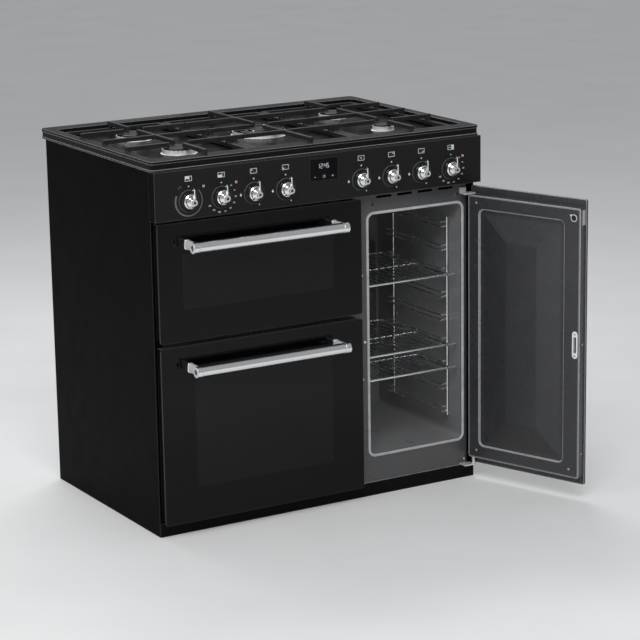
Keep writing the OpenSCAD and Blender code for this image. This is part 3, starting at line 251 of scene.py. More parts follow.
def make_materials():
    mats = {}
    # Each enamel's lighter edge tone below is a painted highlight along its rounded edges
    mats["black_enamel"] = speckled("black_enamel", (0.009, 0.009, 0.0095), 0.26, fleck=2.0, spec=0.06, edge=0.003,
                                    painted_edge_highlight=0.32)
    mats["fascia_enamel"] = speckled("fascia_enamel", (0.0105, 0.0105, 0.011), 0.24, fleck=1.6, spec=0.2,
                                     edge=0.0025, painted_edge_highlight=0.13)
    mats["side_enamel"] = speckled("side_enamel", (0.0035, 0.0035, 0.0038), 0.36, fleck=1.4, spec=0.012, edge=0.0025,
                                   painted_edge_highlight=0.07, peel=0.05)
    mats["plinth_paint"] = speckled("plinth_paint", (0.006, 0.006, 0.0065), 0.5, fleck=1.6, spec=0.06, edge=0.001,
                                    peel=0.15)
    mats["grey_enamel"] = speckled("grey_enamel", (0.075, 0.077, 0.08), 0.3, fleck=3.0, edge=0.001)
    mats["cavity_enamel"] = speckled("cavity_enamel", (0.24, 0.242, 0.246), 0.32, fleck=1.8, edge=0.001)
    mats["frame_enamel"] = speckled("frame_enamel", (0.085, 0.086, 0.088), 0.26, fleck=2.2, edge=0.0015, painted_edge_highlight=0.2)
    # The tall door's liner: painted facet shading and a strong painted edge highlight
    mats["liner_enamel"] = speckled("liner_enamel", (0.036, 0.037, 0.039), 0.27, fleck=2.4, edge=0.005, painted_edge_highlight=0.62,
                                    painted_facet_shade=True)
    # A lighter copy of the liner's enamel: a painted highlight along the tall door's folded lip
    mats["lip_highlight_enamel"] = speckled("lip_highlight_enamel", (0.2, 0.202, 0.206), 0.28, fleck=1.6, edge=0.0)
    mats["cap_enamel"] = speckled("cap_enamel", (0.01, 0.01, 0.01), 0.42, fleck=2.0, spec=0.3, edge=0.0012, painted_edge_highlight=0.06,
                                  peel=0.12)
    mats["chrome"] = metal("chrome", (0.83, 0.84, 0.85), 0.09, scale=60, grain=0.01, edge=0.0005, tint=0.02)
    mats["chrome_wire"] = metal("chrome_wire", (0.88, 0.885, 0.89), 0.24, scale=240, grain=0.04, tint=0.05)
    mats["handle_steel"] = metal("handle_steel", (0.95, 0.955, 0.96), 0.19, stretch=(0.08, 6, 6), scale=140,
                                 grain=0.008, edge=0.001, tint=0.02)
    mats["arm_steel"] = metal("arm_steel", (0.95, 0.955, 0.96), 0.3, scale=240, grain=0.02, edge=0.001, tint=0.02,
                              metallic=0.35)
    mats["spindle_steel"] = metal("spindle_steel", (0.62, 0.62, 0.62), 0.32, scale=400, grain=0.08)
    mats["fan_steel"] = metal("fan_steel", (0.52, 0.52, 0.52), 0.36, scale=500, grain=0.08, tint=0.1)
    mats["element_steel"] = metal("element_steel", (0.2, 0.19, 0.18), 0.5, scale=420, grain=0.15, tint=0.25)
    mats["burner_alloy"] = metal("burner_alloy", (0.93, 0.93, 0.93), 0.42, scale=700, grain=0.08, edge=0.0006,
                                 metallic=0.3)
    mats["hinge_steel"] = metal("hinge_steel", (0.9, 0.9, 0.9), 0.34, scale=300, grain=0.05, edge=0.001, metallic=0.5)
    mats["brass"] = metal("brass", (0.62, 0.46, 0.2), 0.3, scale=300, grain=0.08, edge=0.0006, tint=0.08)
    mats["fitting_brass"] = metal("fitting_brass", (0.6, 0.45, 0.2), 0.33, scale=300, grain=0.08, edge=0.0006)

    # A knob: chrome in front of a gloss black skirt
    m = Mat("knob_chrome", (0.86, 0.865, 0.87), metallic=1.0, rough=0.08)
    bell = m.range(m.axes(m.coord)["Y"], -0.3202, -0.3198, 1, 0)
    chrome = m.wander(9, 3, 0.3, 0.7, (0.84, 0.845, 0.85), (0.88, 0.885, 0.89))
    m.colour(m.mix(bell, (0.007, 0.007, 0.0075), chrome))
    m.link(bell, m.p.inputs["Metallic"])
    m.rough(m.math("ADD", m.range(m.noise(30, 5, 0.6), 0.4, 0.8, 0.1, 0.15), m.range(bell, 0, 1, 0.08, 0)))
    m.bump(m.noise(60, 4), 0.004, 0.0002, 0.0005)
    mats["knob_chrome"] = m.m

    # Zinc coat: large spangles that differ in tone and gloss
    m = Mat("galvanised_steel", (0.5, 0.51, 0.52), metallic=1.0, rough=0.42)
    tone = m.nt.nodes.new("ShaderNodeSeparateColor")
    m.link(m.voronoi(80).outputs["Color"], tone.inputs["Color"])
    m.colour(m.mix(tone.outputs["Red"], (0.45, 0.46, 0.47), (0.53, 0.54, 0.55)))
    m.rough(m.range(tone.outputs["Green"], 0, 1, 0.4, 0.5))
    m.bump(m.noise(220, 3), 0.08, 0.0002, 0.0006)
    mats["galvanised_steel"] = m.m

    # Matt black enamelled iron with a cast skin
    m = Mat("cast_iron", (0.02, 0.02, 0.021), rough=0.5, spec=0.35)
    coarse = m.noise(260, 4, 0.6)
    body = m.wander(30, 4, 0.35, 0.7, (0.015, 0.015, 0.016), (0.028, 0.028, 0.029))
    # Painted highlight: the rounded edges are a lighter grey
    m.colour(m.mix(m.edges(0.002), body, (0.09, 0.09, 0.092)))
    m.rough(m.range(coarse, 0.3, 0.7, 0.4, 0.58))
    m.bump(coarse, 0.35, 0.0006, 0.002)
    mats["cast_iron"] = m.m

    mats["seal_rubber"] = mottled("seal_rubber", (0.56, 0.565, 0.57), 0.5,
                                  (40, 4, 0.35, 0.7, (0.5, 0.505, 0.51), (0.62, 0.625, 0.63)),
                                  (120, 3, 0.3, 0.7, 0.48, 0.62), (600, 2, 0.1, 0.0))
    mats["plug_ceramic"] = mottled("plug_ceramic", (0.82, 0.8, 0.76), 0.2,
                                   (300, 3, 0.4, 0.7, (0.84, 0.82, 0.78), (0.7, 0.66, 0.6)),
                                   (200, 2, 0.3, 0.7, 0.15, 0.3), (500, 2, 0.05, 0.0))
    # Gloss black window of the clock, and the glass of the oven lamp
    mats["display_glass"] = mottled("display_glass", (0.004, 0.004, 0.005), 0.06,
                                    (14, 2, 0.3, 0.7, (0.003, 0.003, 0.004), (0.006, 0.006, 0.007)),
                                    (60, 4, 0.4, 0.8, 0.05, 0.1), (30, 1, 0.01, 0.0), spec=0.1)
    mats["black_moulding"] = mottled("black_moulding", (0.02, 0.02, 0.021), 0.5,
                                     (60, 3, 0.3, 0.7, (0.016, 0.016, 0.017), (0.026, 0.026, 0.027)),
                                     (260, 2, 0.3, 0.7, 0.42, 0.58), (900, 2, 0.25, 0.0006), spec=0.2)
    for name, base, low, high in (("print_white", 0.78, 0.7, 0.82), ("print_grey", 0.13, 0.11, 0.15)):
        mats[name] = mottled(name, (base,) * 3, 0.5, (800, 2, 0.35, 0.65, (low,) * 3, (high,) * 3),
                             (500, 2, 0.3, 0.7, 0.42, 0.58))

    for name, colour, strength in (("lamp_orange", (0.8, 0.2, 0.04), 0.4), ("lamp_red", (0.8, 0.11, 0.03), 0.4),
                                   ("digit_light", (0.85, 0.92, 1.0), 0.55)):
        mats[name] = mottled(name, shade(colour, 0.5), 0.25,
                             (900, 2, 0.3, 0.7, shade(colour, 0.4), shade(colour, 0.6)),
                             (700, 2, 0.3, 0.7, 0.2, 0.32), glow=(colour, strength))
    return mats


def glass_material(name, window):
    """Black-printed glass; inside the window (x0, z0, x1, z1 in mm) the print is open and the pane looks greyer."""
    m = Mat(name, (0.004, 0.004, 0.0045), rough=0.05, spec=0.2)
    if window:
        x0, z0, x1, z1 = [v * MM for v in window]
        corner, blur = 0.008, 0.0004
        axes = m.axes(m.coord)

        def beyond(axis, lo, hi):
            """How far a point lies past the corner's centre along one axis."""
            off = m.math("ABSOLUTE", m.math("SUBTRACT", axes[axis], (lo + hi) / 2))
            return m.math("MAXIMUM", m.math("SUBTRACT", off, (hi - lo) / 2 - corner), 0.0)

        ax, az = beyond("X", x0, x1), beyond("Z", z0, z1)
        dist = m.math("SQRT", m.math("ADD", m.math("MULTIPLY", ax, ax), m.math("MULTIPLY", az, az)))
        inside = m.range(dist, corner - blur, corner + blur, 1, 0)
        fade = m.range(axes["Z"], z0, z1, 0.0, 1.0)
        cloud = m.range(m.noise(5, 3), 0.3, 0.7, 0.0, 0.35)
        pane = m.mix(m.math("ADD", m.math("MULTIPLY", fade, 0.6), cloud), (0.0055, 0.0056, 0.006),
                     (0.0085, 0.0087, 0.0092))
        face = m.mix(inside, (0.0015, 0.0015, 0.0018), pane)
    else:
        face = m.wander(5, 3, 0.3, 0.7, (0.0022, 0.0022, 0.0025), (0.0034, 0.0034, 0.0038))
    # Painted highlight: a lighter grey along the rounded edges
    m.colour(m.mix(m.edges(0.0015), face, (0.1, 0.1, 0.102)))
    m.rough(m.range(m.noise(25, 5, 0.6), 0.45, 0.8, 0.035, 0.09))
    m.bump(m.noise(3, 1), 0.02, 0.0005, 0.0015)
    return m.m


MATS = make_materials()
MATS["upper_glass"] = glass_material("upper_glass", (-382, 549, 24, 682))
MATS["lower_glass"] = glass_material("lower_glass", (-357, 117, 16, 380))
MATS["door_glass"] = glass_material("door_glass", None)

NODE_MATS = {
    "plinth_frame": "plinth_paint", "side_panel_left": "side_enamel", "side_panel_right": "side_enamel",
    "hob_top": "black_enamel", "control_fascia": "fascia_enamel",
    "base_tray": "galvanised_steel", "back_panel": "galvanised_steel", "levelling_feet": "black_moulding",
    "fan_motors": "galvanised_steel", "burner_cups": "galvanised_steel", "oven_switches": "galvanised_steel",
    "left_door_hinges": "galvanised_steel",
    "front_frame": "frame_enamel", "upper_oven_cavity": "cavity_enamel", "lower_oven_cavity": "cavity_enamel",
    "right_oven_cavity": "cavity_enamel", "fan_covers": "grey_enamel", "grill_pan": "grey_enamel",
    "upper_door_liner": "grey_enamel", "lower_door_liner": "grey_enamel", "right_door_liner": "liner_enamel",
    "left_oven_seals": "seal_rubber", "right_oven_seal": "seal_rubber",
    "grill_element": "element_steel", "lower_oven_fan": "fan_steel", "right_oven_fan": "fan_steel",
    "side_racks": "chrome_wire", "right_shelf_top": "chrome_wire", "right_shelf_middle": "chrome_wire",
    "right_shelf_bottom": "chrome_wire", "lower_oven_shelf": "chrome_wire",
    "burner_crowns": "burner_alloy", "burner_caps": "cap_enamel", "spark_plugs": "plug_ceramic",
    "gas_valve_rail": "brass", "clock_module": "display_glass",
    "upper_door_glass": "upper_glass", "lower_door_glass": "lower_glass", "right_door_skin": "door_glass",
    "upper_door_handle": "handle_steel", "lower_door_handle": "handle_steel", "right_door_handle": "handle_steel",
    "right_door_hardware": "hinge_steel",
    "pan_support_left": "cast_iron", "pan_support_middle": "cast_iron", "pan_support_right": "cast_iron",
    "service_inlets": "fitting_brass",
}
for node_name, node_object in NODES.items():
    if node_name.startswith("knob_"):
        key = "knob_chrome"
    elif node_name.startswith("spindle_"):
        key = "spindle_steel"
    else:
        key = NODE_MATS[node_name]
    if not node_object.material_slots:
        node_object.data.materials.append(MATS[key])
    for s in node_object.material_slots:
        s.material = MATS[key]


# ---------- mesh helpers ----------

def smooth_by_angle(o, angle):
    for p in o.data.polygons:
        p.use_smooth = True
    o.data.set_sharp_from_angle(angle=math.radians(angle))


def finish_piece(bm, name, body, mat, matrix=None, bevel=0.0, angle=35):
    """Turns a bmesh in millimetres into an object that rides on a body; angle keeps edges sharp above it."""
    bmesh.ops.recalc_face_normals(bm, faces=bm.faces)
    mesh = bpy.data.meshes.new(name)
    if matrix is not None:
        bm.transform(matrix)
    bm.transform(Matrix.Scale(MM, 4))
    bm.to_mesh(mesh)
    bm.free()
    o = bpy.data.objects.new(name, mesh)
    bpy.context.scene.collection.objects.link(o)
    mesh.materials.append(MATS[mat])
    if bevel:
        b = o.modifiers.new("edge", "BEVEL")
        b.width = bevel * MM
        b.segments = 2
        b.limit_method = "ANGLE"
        b.angle_limit = math.radians(30)
    smooth_by_angle(o, angle)
    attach(o, body)
    return o


def add_box(bm, lo, hi):
    lo, hi = Vector(lo), Vector(hi)
    bmesh.ops.create_cube(bm, size=1, matrix=Matrix.Translation((lo + hi) / 2) @ Matrix.Diagonal((*(hi - lo), 1)))


def add_lathe(bm, profile, matrix, steps=32):
    """A turned form: profile points are (radius, height), along the matrix's Z."""
    rings = []
    for r, h in profile:
        if r < 1e-6:
            rings.append([bm.verts.new(matrix @ Vector((0, 0, h)))])
        else:
            rings.append([bm.verts.new(matrix @ Vector((r * math.cos(2 * math.pi * i / steps),
                                                        r * math.sin(2 * math.pi * i / steps), h)))
                          for i in range(steps)])
    for a, b in zip(rings, rings[1:]):
        for i in range(steps):
            j = (i + 1) % steps
            f = [a[i % len(a)], a[j % len(a)], b[j % len(b)], b[i % len(b)]]
            f = list(dict.fromkeys(f))
            if len(f) > 2:
                bm.faces.new(f)


def add_strip(bm, rows):
    """A strip through rounded outlines: rows of (points in X and Z, y), each row with the same number of points."""
    rings = [[bm.verts.new((x, y, z)) for x, z in pts] for pts, y in rows]
    for a, b in zip(rings, rings[1:]):
        for i in range(len(a)):
            j = (i + 1) % len(a)
            bm.faces.new([a[i], a[j], b[j], b[i]])


def facing(x, y, z):
    """A frame at (x, y, z) whose Z axis points out of the front, along -Y."""
    return Matrix.Translation((x, y, z)) @ Matrix.Rotation(math.radians(90), 4, "X")


def backing(x, y, z):
    """A frame at (x, y, z) whose Z axis points to the back, along +Y."""
    return Matrix.Translation((x, y, z)) @ Matrix.Rotation(math.radians(-90), 4, "X")


def sideways(x, y, z, side):
    """A frame at (x, y, z) whose Z axis points along X, towards side (1 or -1)."""
    return Matrix.Translation((x, y, z)) @ Matrix.Rotation(math.radians(90 * side), 4, "Y")


def round_path(x0, z0, x1, z1, r, n=8):
    """Points round a rounded rectangle in X and Z, anticlockwise from the front."""
    pts = []
    for cx, cz, a in ((x1 - r, z1 - r, 0), (x0 + r, z1 - r, 90), (x0 + r, z0 + r, 180), (x1 - r, z0 + r, 270)):
        for i in range(n + 1):
            t = math.radians(a + 90 * i / n)
            pts.append((cx + r * math.cos(t), cz + r * math.sin(t)))
    return pts


# ---------- printed marks on the fascia ----------

class Print:
    """Flat marks in X and Z on a plane that faces -Y, with a slight thickness."""

    def __init__(self, y, t=0.14):
        self.bm, self.y, self.t = bmesh.new(), y, t

    def poly(self, pts):
        front = [self.bm.verts.new((x, self.y - self.t, z)) for x, z in pts]
        back = [self.bm.verts.new((x, self.y + 0.02, z)) for x, z in pts]
        self.bm.faces.new(front)
        self.bm.faces.new(back[::-1])
        n = len(pts)
        for i in range(n):
            self.bm.faces.new([front[i], back[i], back[(i + 1) % n], front[(i + 1) % n]])

    def line(self, p, q, w):
        d = Vector((q[0] - p[0], q[1] - p[1]))
        n = Vector((-d.y, d.x)).normalized() * (w / 2)
        self.poly([(p[0] + n.x, p[1] + n.y), (p[0] - n.x, p[1] - n.y), (q[0] - n.x, q[1] - n.y),
                   (q[0] + n.x, q[1] + n.y)])

    def dot(self, x, z, r, n=14):
        self.poly([(x + r * math.cos(2 * math.pi * i / n), z + r * math.sin(2 * math.pi * i / n)) for i in range(n)])

    def arc(self, x, z, r, a0, a1, w, n=28):
        for i in range(n):
            t0, t1 = [math.radians(a0 + (a1 - a0) * k / n) for k in (i, i + 1)]
            w0, w1 = [w * (0.35 + 0.65 * k / n) for k in (i, i + 1)]
            self.poly([(x + (r - w0 / 2) * math.cos(t0), z + (r - w0 / 2) * math.sin(t0)),
                       (x + (r + w0 / 2) * math.cos(t0), z + (r + w0 / 2) * math.sin(t0)),
                       (x + (r + w1 / 2) * math.cos(t1), z + (r + w1 / 2) * math.sin(t1)),
                       (x + (r - w1 / 2) * math.cos(t1), z + (r - w1 / 2) * math.sin(t1))])

    def frame(self, x, z, w, h, t):
        for e in (z + t / 2, z + h - t / 2):
            self.line((x, e), (x + w, e), t)
        for e in (x + t / 2, x + w - t / 2):
            self.line((e, z + t), (e, z + h - t), t)

    def flame(self, x, z, h):
        """A plain teardrop with a smaller tongue beside it."""
        left = [(0, 0), (-0.26, 0.1), (-0.34, 0.34), (-0.2, 0.62), (0.02, 1.0)]
        right = [(0.06, 0.72), (0.3, 0.46), (0.34, 0.26), (0.22, 0.08)]
        self.poly([(x + a * h, z + b * h) for a, b in left + right])

    # The strokes of each digit, named as on a seven-segment display
    SEGMENTS = {"0": "abcdef", "1": "bc", "2": "abged", "3": "abgcd", "4": "fgbc", "5": "afgcd", "6": "afgedc",
                "7": "abc", "8": "abcdefg", "9": "abfgcd"}

    def digit(self, char, x, z, h, w, t):
        p = {"a": ((0, h), (w, h)), "b": ((w, h), (w, h / 2)), "c": ((w, h / 2), (w, 0)), "d": ((0, 0), (w, 0)),
             "e": ((0, 0), (0, h / 2)), "f": ((0, h / 2), (0, h)), "g": ((0, h / 2), (w, h / 2))}
        for s in self.SEGMENTS[char]:
            (ax, az), (bx, bz) = p[s]
            gx, gz = (0.18 * t, 0) if az == bz else (0, 0.18 * t)
            if az > bz:
                gz = -gz
            self.line((x + ax + gx, z + az + gz), (x + bx - gx, z + bz - gz), t)

    def number(self, text, x, z, h, t):
        w = h * 0.5
        x -= (len(text) * w + (len(text) - 1) * w * 0.5) / 2
        for i, c in enumerate(text):
            self.digit(c, x + i * w * 1.5, z - h / 2, h, w, t)

    def done(self, name, body, mat):
        return finish_piece(self.bm, name, body, mat)


def fascia_prints():
    p = Print(FRONT_Y)
    grey = Print(FRONT_Y)
    w, h, t = 18.0, 12.0, 1.1
    for i, x in enumerate(KNOB_XS):
        # A framed sign above each knob; knobs 0, 1 and 7 serve the ovens, the others the burners
        ix, iz = x - w / 2, KNOB_Z + 46
        split = ix + 11.4
        p.frame(ix, iz, w, h, t)
        if i in (0, 1, 7):
            # A cooker outline with the served oven filled
            p.line((split, iz + t), (split, iz + h - t), t)
            p.line((ix + t, iz + 5.8), (split - t / 2, iz + 5.8), t)
            x0, z0, x1, z1 = {0: (ix + t, iz + 6.4, split - t / 2, iz + h - t),
                              1: (ix + t, iz + t, split - t / 2, iz + 5.2),
                              7: (split + t / 2, iz + t, ix + w - t, iz + h - t)}[i]
            p.poly([(x0, z0), (x1, z0), (x1, z1), (x0, z1)])
        else:
            # Five burners, the served one larger
            for n, (dx, dz) in enumerate(((4.2, 8.6), (4.2, 3.6), (9.0, 6.0), (13.8, 8.6), (13.8, 3.6))):
                p.dot(ix + dx, iz + dz, 1.7 if n == i - 2 else 0.45, 12)
        p.dot(x, KNOB_Z + 34, 1.6 if i in (0, 1, 7) else 1.9)
        # Round the knobs: a growing arc for the grill, temperatures for the other ovens, flames for the burners
        if i == 0:
            grey.arc(x, KNOB_Z, 34.5, 45, -205, 5.0, 44)
            grey.arc(x - 21.5, KNOB_Z + 31, 4.0, -10, 200, 1.8, 14)
        elif i in (1, 7):
            for n in range(9):
                a = math.radians(45 - n * 24.4)
                p.number(str(50 + 25 * n), x + 36 * math.cos(a), KNOB_Z + 35 * math.sin(a), 3.0, 0.6)
        else:
            p.flame(x - 35, KNOB_Z - 4.5, 8.0)
            p.flame(x + 14, KNOB_Z - 30.5, 5.0)
    p.done("fascia_prints", "chassis", "print_white")
    grey.done("fascia_grey_prints", "chassis", "print_grey")

    lamps = ((KNOB_XS[0] + 39, 834.0, "lamp_orange"), (KNOB_XS[1] + 39, 834.0, "lamp_orange"),
             (KNOB_XS[7] + 35, 831.0, "lamp_red"))
    for n, (x, z, mat) in enumerate(lamps):
        bm = bmesh.new()
        add_lathe(bm, [(0, 0.9), (1.2, 0.8), (1.9, 0.45), (2.1, 0.0), (2.1, -0.6)], facing(x, FRONT_Y, z), 20)
        finish_piece(bm, "fascia_lamp_%d" % (n + 1), "chassis", mat)
        bm = bmesh.new()
        add_lathe(bm, [(2.15, -0.3), (2.15, 0.5), (2.6, 0.55), (3.1, 0.3), (3.2, -0.3)], facing(x, FRONT_Y, z), 24)
        finish_piece(bm, "fascia_lamp_rim_%d" % (n + 1), "chassis", "chrome")


def clock_face():
    x0, z0, x1, z1 = DISPLAY
    p = Print(CLOCK_Y, 0.08)
    h, w, t = 10.4, 4.4, 0.8
    for c, x in zip("1245", (-16.5, -8.4, 2.2, 9.0)):
        p.digit(c, x, 842.3, h, w, t)
    for z in (845.4, 850.6):
        p.dot(-0.8, z, 0.7, 10)
    p.done("clock_digits", "chassis", "digit_light")
    p = Print(CLOCK_Y, 0.08)
    # Touch marks along the bottom: less, a clock, more
    p.line((-26.6, 822), (-21.4, 822), 0.8)
    p.line((21.4, 822), (26.6, 822), 0.8)
    p.line((24, 819.4), (24, 824.6), 0.8)
    p.arc(0, 822, 3.1, 90, 450, 0.9, 24)
    p.line((0, 822), (0, 824.2), 0.6)
    p.line((0, 822), (1.6, 821.4), 0.6)
    p.done("clock_touch_marks", "chassis", "print_white")
    bm = bmesh.new()
    outer = round_path(x0 - 1.4, z0 - 1.4, x1 + 1.4, z1 + 1.4, 2.4, 5)
    inner = round_path(x0 + 0.2, z0 + 0.2, x1 - 0.2, z1 - 0.2, 1.2, 5)
    add_strip(bm, [(outer, FRONT_Y), (outer, FRONT_Y - 0.35), (inner, FRONT_Y - 1.0), (inner, FRONT_Y - 0.5)])
    finish_piece(bm, "clock_bezel", "chassis", "black_moulding")


def knob_inserts():
    for i, (x, body) in enumerate(zip(KNOB_XS, KNOB_BODIES)):
        # The dark bottom of the hole in the boss
        bm = bmesh.new()
        add_lathe(bm, [(0, -1.5), (1.9, -1.55), (3.0, -1.75), (3.38, -1.95), (3.38, -2.0)],
                  facing(x, KNOB_END_Y, KNOB_Z), 28)
        finish_piece(bm, "knob_centre_%d" % (i + 1), body, "black_moulding")
        # Dark gasket between the skirt and the bell, and a fine ring on the boss
        bm = bmesh.new()
        add_lathe(bm, [(18.2, 6.2), (18.9, 6.5), (18.6, 7.2), (17.7, 7.7)], facing(x, KNOB_BACK_Y, KNOB_Z), 40)
        finish_piece(bm, "knob_gasket_%d" % (i + 1), body, "black_moulding")
        bm = bmesh.new()
        add_lathe(bm, [(6.4, 20.0), (6.95, 20.3), (6.95, 21.3), (6.4, 21.6)], facing(x, KNOB_BACK_Y, KNOB_Z), 32)
        finish_piece(bm, "knob_ring_%d" % (i + 1), body, "chrome")
        # The ridge down the front of the pointer
        bm = bmesh.new()
        add_box(bm, (x - 1.1, KNOB_END_Y + 0.5, KNOB_Z + 8.5), (x + 1.1, KNOB_END_Y + 1.1, KNOB_Z + 31))
        finish_piece(bm, "knob_pointer_ridge_%d" % (i + 1), body, "arm_steel", bevel=0.25)


# ---------- doors ----------

# Points (across, proud) of a two-lobed lip seal, 7 mm wide and 3.6 mm proud
SEAL_PROFILE = [(-3.4, 0.0), (-3.5, 1.2), (-3.1, 2.3), (-2.2, 3.2), (-1.2, 3.55), (-0.3, 3.3), (0.3, 2.6), (0.9, 2.3),
                (1.6, 2.7), (2.3, 2.75), (3.0, 2.1), (3.4, 1.1), (3.4, 0.0)]


def seal(name, node_name, mouths):
    """Lip seals round the mouths (x0, z0, x1, z1) of the ovens; together they stand in for one CAD node."""
    middle, corner = 3.5, 14.0
    for k, (x0, z0, x1, z1) in enumerate(mouths):
        rows = []
        for across, proud in SEAL_PROFILE:
            out = middle + across
            rows.append((round_path(x0 - out, z0 - out, x1 + out, z1 + out, corner + out, 10), FRAME_Y - proud))
        bm = bmesh.new()
        add_strip(bm, rows)
        o = finish_piece(bm, "%s_%d" % (name, k + 1), "chassis", "seal_rubber", angle=60)
        if k == 0:
            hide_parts(node_name)


def handle_caps(name, body, x0, x1, z, matrix=None):
    """The sunk discs in a bar's end faces, a bead beside each collar and a foot plate under each arm."""
    y = FRONT_Y - HANDLE_OUT
    for tag, x, s in (("left", x0, -1), ("right", x1, 1)):
        m = sideways(x, y, z, s)
        bm = bmesh.new()
        add_lathe(bm, [(0, -2.1), (3.4, -2.15), (4.5, -2.4), (4.95, -2.9)], m, 28)
        finish_piece(bm, "%s_inset_%s" % (name, tag), body, "black_moulding", matrix)
        bm = bmesh.new()
        add_lathe(bm, [(4.98, -1.2), (5.0, 0.15), (5.5, 0.3), (6.1, 0.15), (6.2, -0.2)], m, 32)
        add_lathe(bm, [(12.3, -14.2), (12.95, -13.9), (12.95, -13.3), (12.3, -13.0)], m, 48)
        finish_piece(bm, "%s_lip_%s" % (name, tag), body, "chrome", matrix)
    arm_in, half_w, half_h = 10.0, 6.0, 10.5
    bm = bmesh.new()
    for x in (x0 + arm_in, x1 - arm_in):
        rows = []
        for grow, out in ((0.2, 0.0), (1.6, 0.0), (1.6, 0.5), (0.8, 1.1), (0.1, 1.2)):
            rows.append((round_path(x - half_w - grow, z - half_h - grow, x + half_w + grow, z + half_h + grow,
                                    4 + grow, 5), FRONT_Y - out))
        add_strip(bm, rows)
    finish_piece(bm, "%s_feet" % name, body, "chrome", matrix)


def screw(bm, matrix, r=3.4, h=1.5):
    """A round head with a six-sided socket."""
    add_lathe(bm, [(r, 0), (r, 0.35 * h), (r * 0.86, 0.75 * h), (r * 0.5, h), (r * 0.42, h)], matrix, 20)
    add_lathe(bm, [(r * 0.42, h), (r * 0.36, 0.45 * h), (0, 0.4 * h)], matrix, 6)


def tall_door_details():
    """Everything is drawn with the door shut and taken to its rest pose by TALL."""
    # Round buffer near the free top corner of the inner face
    buffer_x, buffer_z = 131.0, 706.0
    bm = bmesh.new()
    add_lathe(bm, [(0, 1.0), (4.6, 0.9), (6.6, 0.3), (7.4, -0.4)], backing(buffer_x, DOOR_BACK_Y, buffer_z), 28)
    finish_piece(bm, "door_buffer", "right_door", "black_moulding", TALL)
    bm = bmesh.new()
    add_lathe(bm, [(7.3, -0.2), (7.6, 0.5), (8.8, 0.45), (9.2, -0.2)], backing(buffer_x, DOOR_BACK_Y, buffer_z), 32)
    finish_piece(bm, "door_buffer_ring", "right_door", "arm_steel", TALL)
    # Keeper plate round the catch slot
    z0, z1, screw_in = 360.75, 428.75, 7.0
    outer = round_path(117.0, z0, 133.0, z1, 7.9, 6)
    inner = round_path(121.3, z0 + 14, 128.7, z1 - 14, 3.6, 6)
    bm = bmesh.new()
    add_strip(bm, [(inner, DOOR_BACK_Y - 1.2), (inner, DOOR_BACK_Y + 0.35), (outer, DOOR_BACK_Y + 0.35),
                   (outer, DOOR_BACK_Y - 0.05)])
    finish_piece(bm, "catch_keeper", "right_door", "chrome", TALL)
    # Two screws in the keeper and one in each corner of the inner face
    bm = bmesh.new()
    for z in (z0 + screw_in, z1 - screw_in):
        screw(bm, backing(125, DOOR_BACK_Y + 0.3, z), 3.0, 1.1)
    for x in (140.0, 416.0):
        for z in (80.0, 712.0):
            screw(bm, backing(x, DOOR_BACK_Y, z), 3.0, 1.1)
    finish_piece(bm, "door_screws", "right_door", "spindle_steel", TALL)
    # Bracket and screws on the free edge
    edge_x, bracket_x = 112.0, 110.9
    bm = bmesh.new()
    add_box(bm, (bracket_x, -301.5, 689), (edge_x, -289, 726))
    add_box(bm, (bracket_x, -303.2, 689), (116, -301.5, 726))
    finish_piece(bm, "edge_bracket", "right_door", "spindle_steel", TALL, bevel=0.3)
    bm = bmesh.new()
    for x, z in ((edge_x, 120.0), (edge_x, 395.0), (bracket_x, 710.0)):
        screw(bm, sideways(x, -295, z, -1), 2.6, 1.0)
    finish_piece(bm, "edge_screws", "right_door", "spindle_steel", TALL)
    # Folded lip round the inner face, in a lighter enamel that paints a highlight along it
    outer = round_path(113.5, 61.0, 438.5, 728.5, 6, 6)
    inner = round_path(116.0, 63.5, 436.0, 726.0, 4, 6)
    bm = bmesh.new()
    add_strip(bm, [(outer, DOOR_BACK_Y - 1.6), (outer, DOOR_BACK_Y + 0.2), (inner, DOOR_BACK_Y + 0.45),
                   (inner, DOOR_BACK_Y - 0.2)])
    finish_piece(bm, "door_inner_lip", "right_door", "lip_highlight_enamel", TALL)


# ---------- hob, frame, back ----------

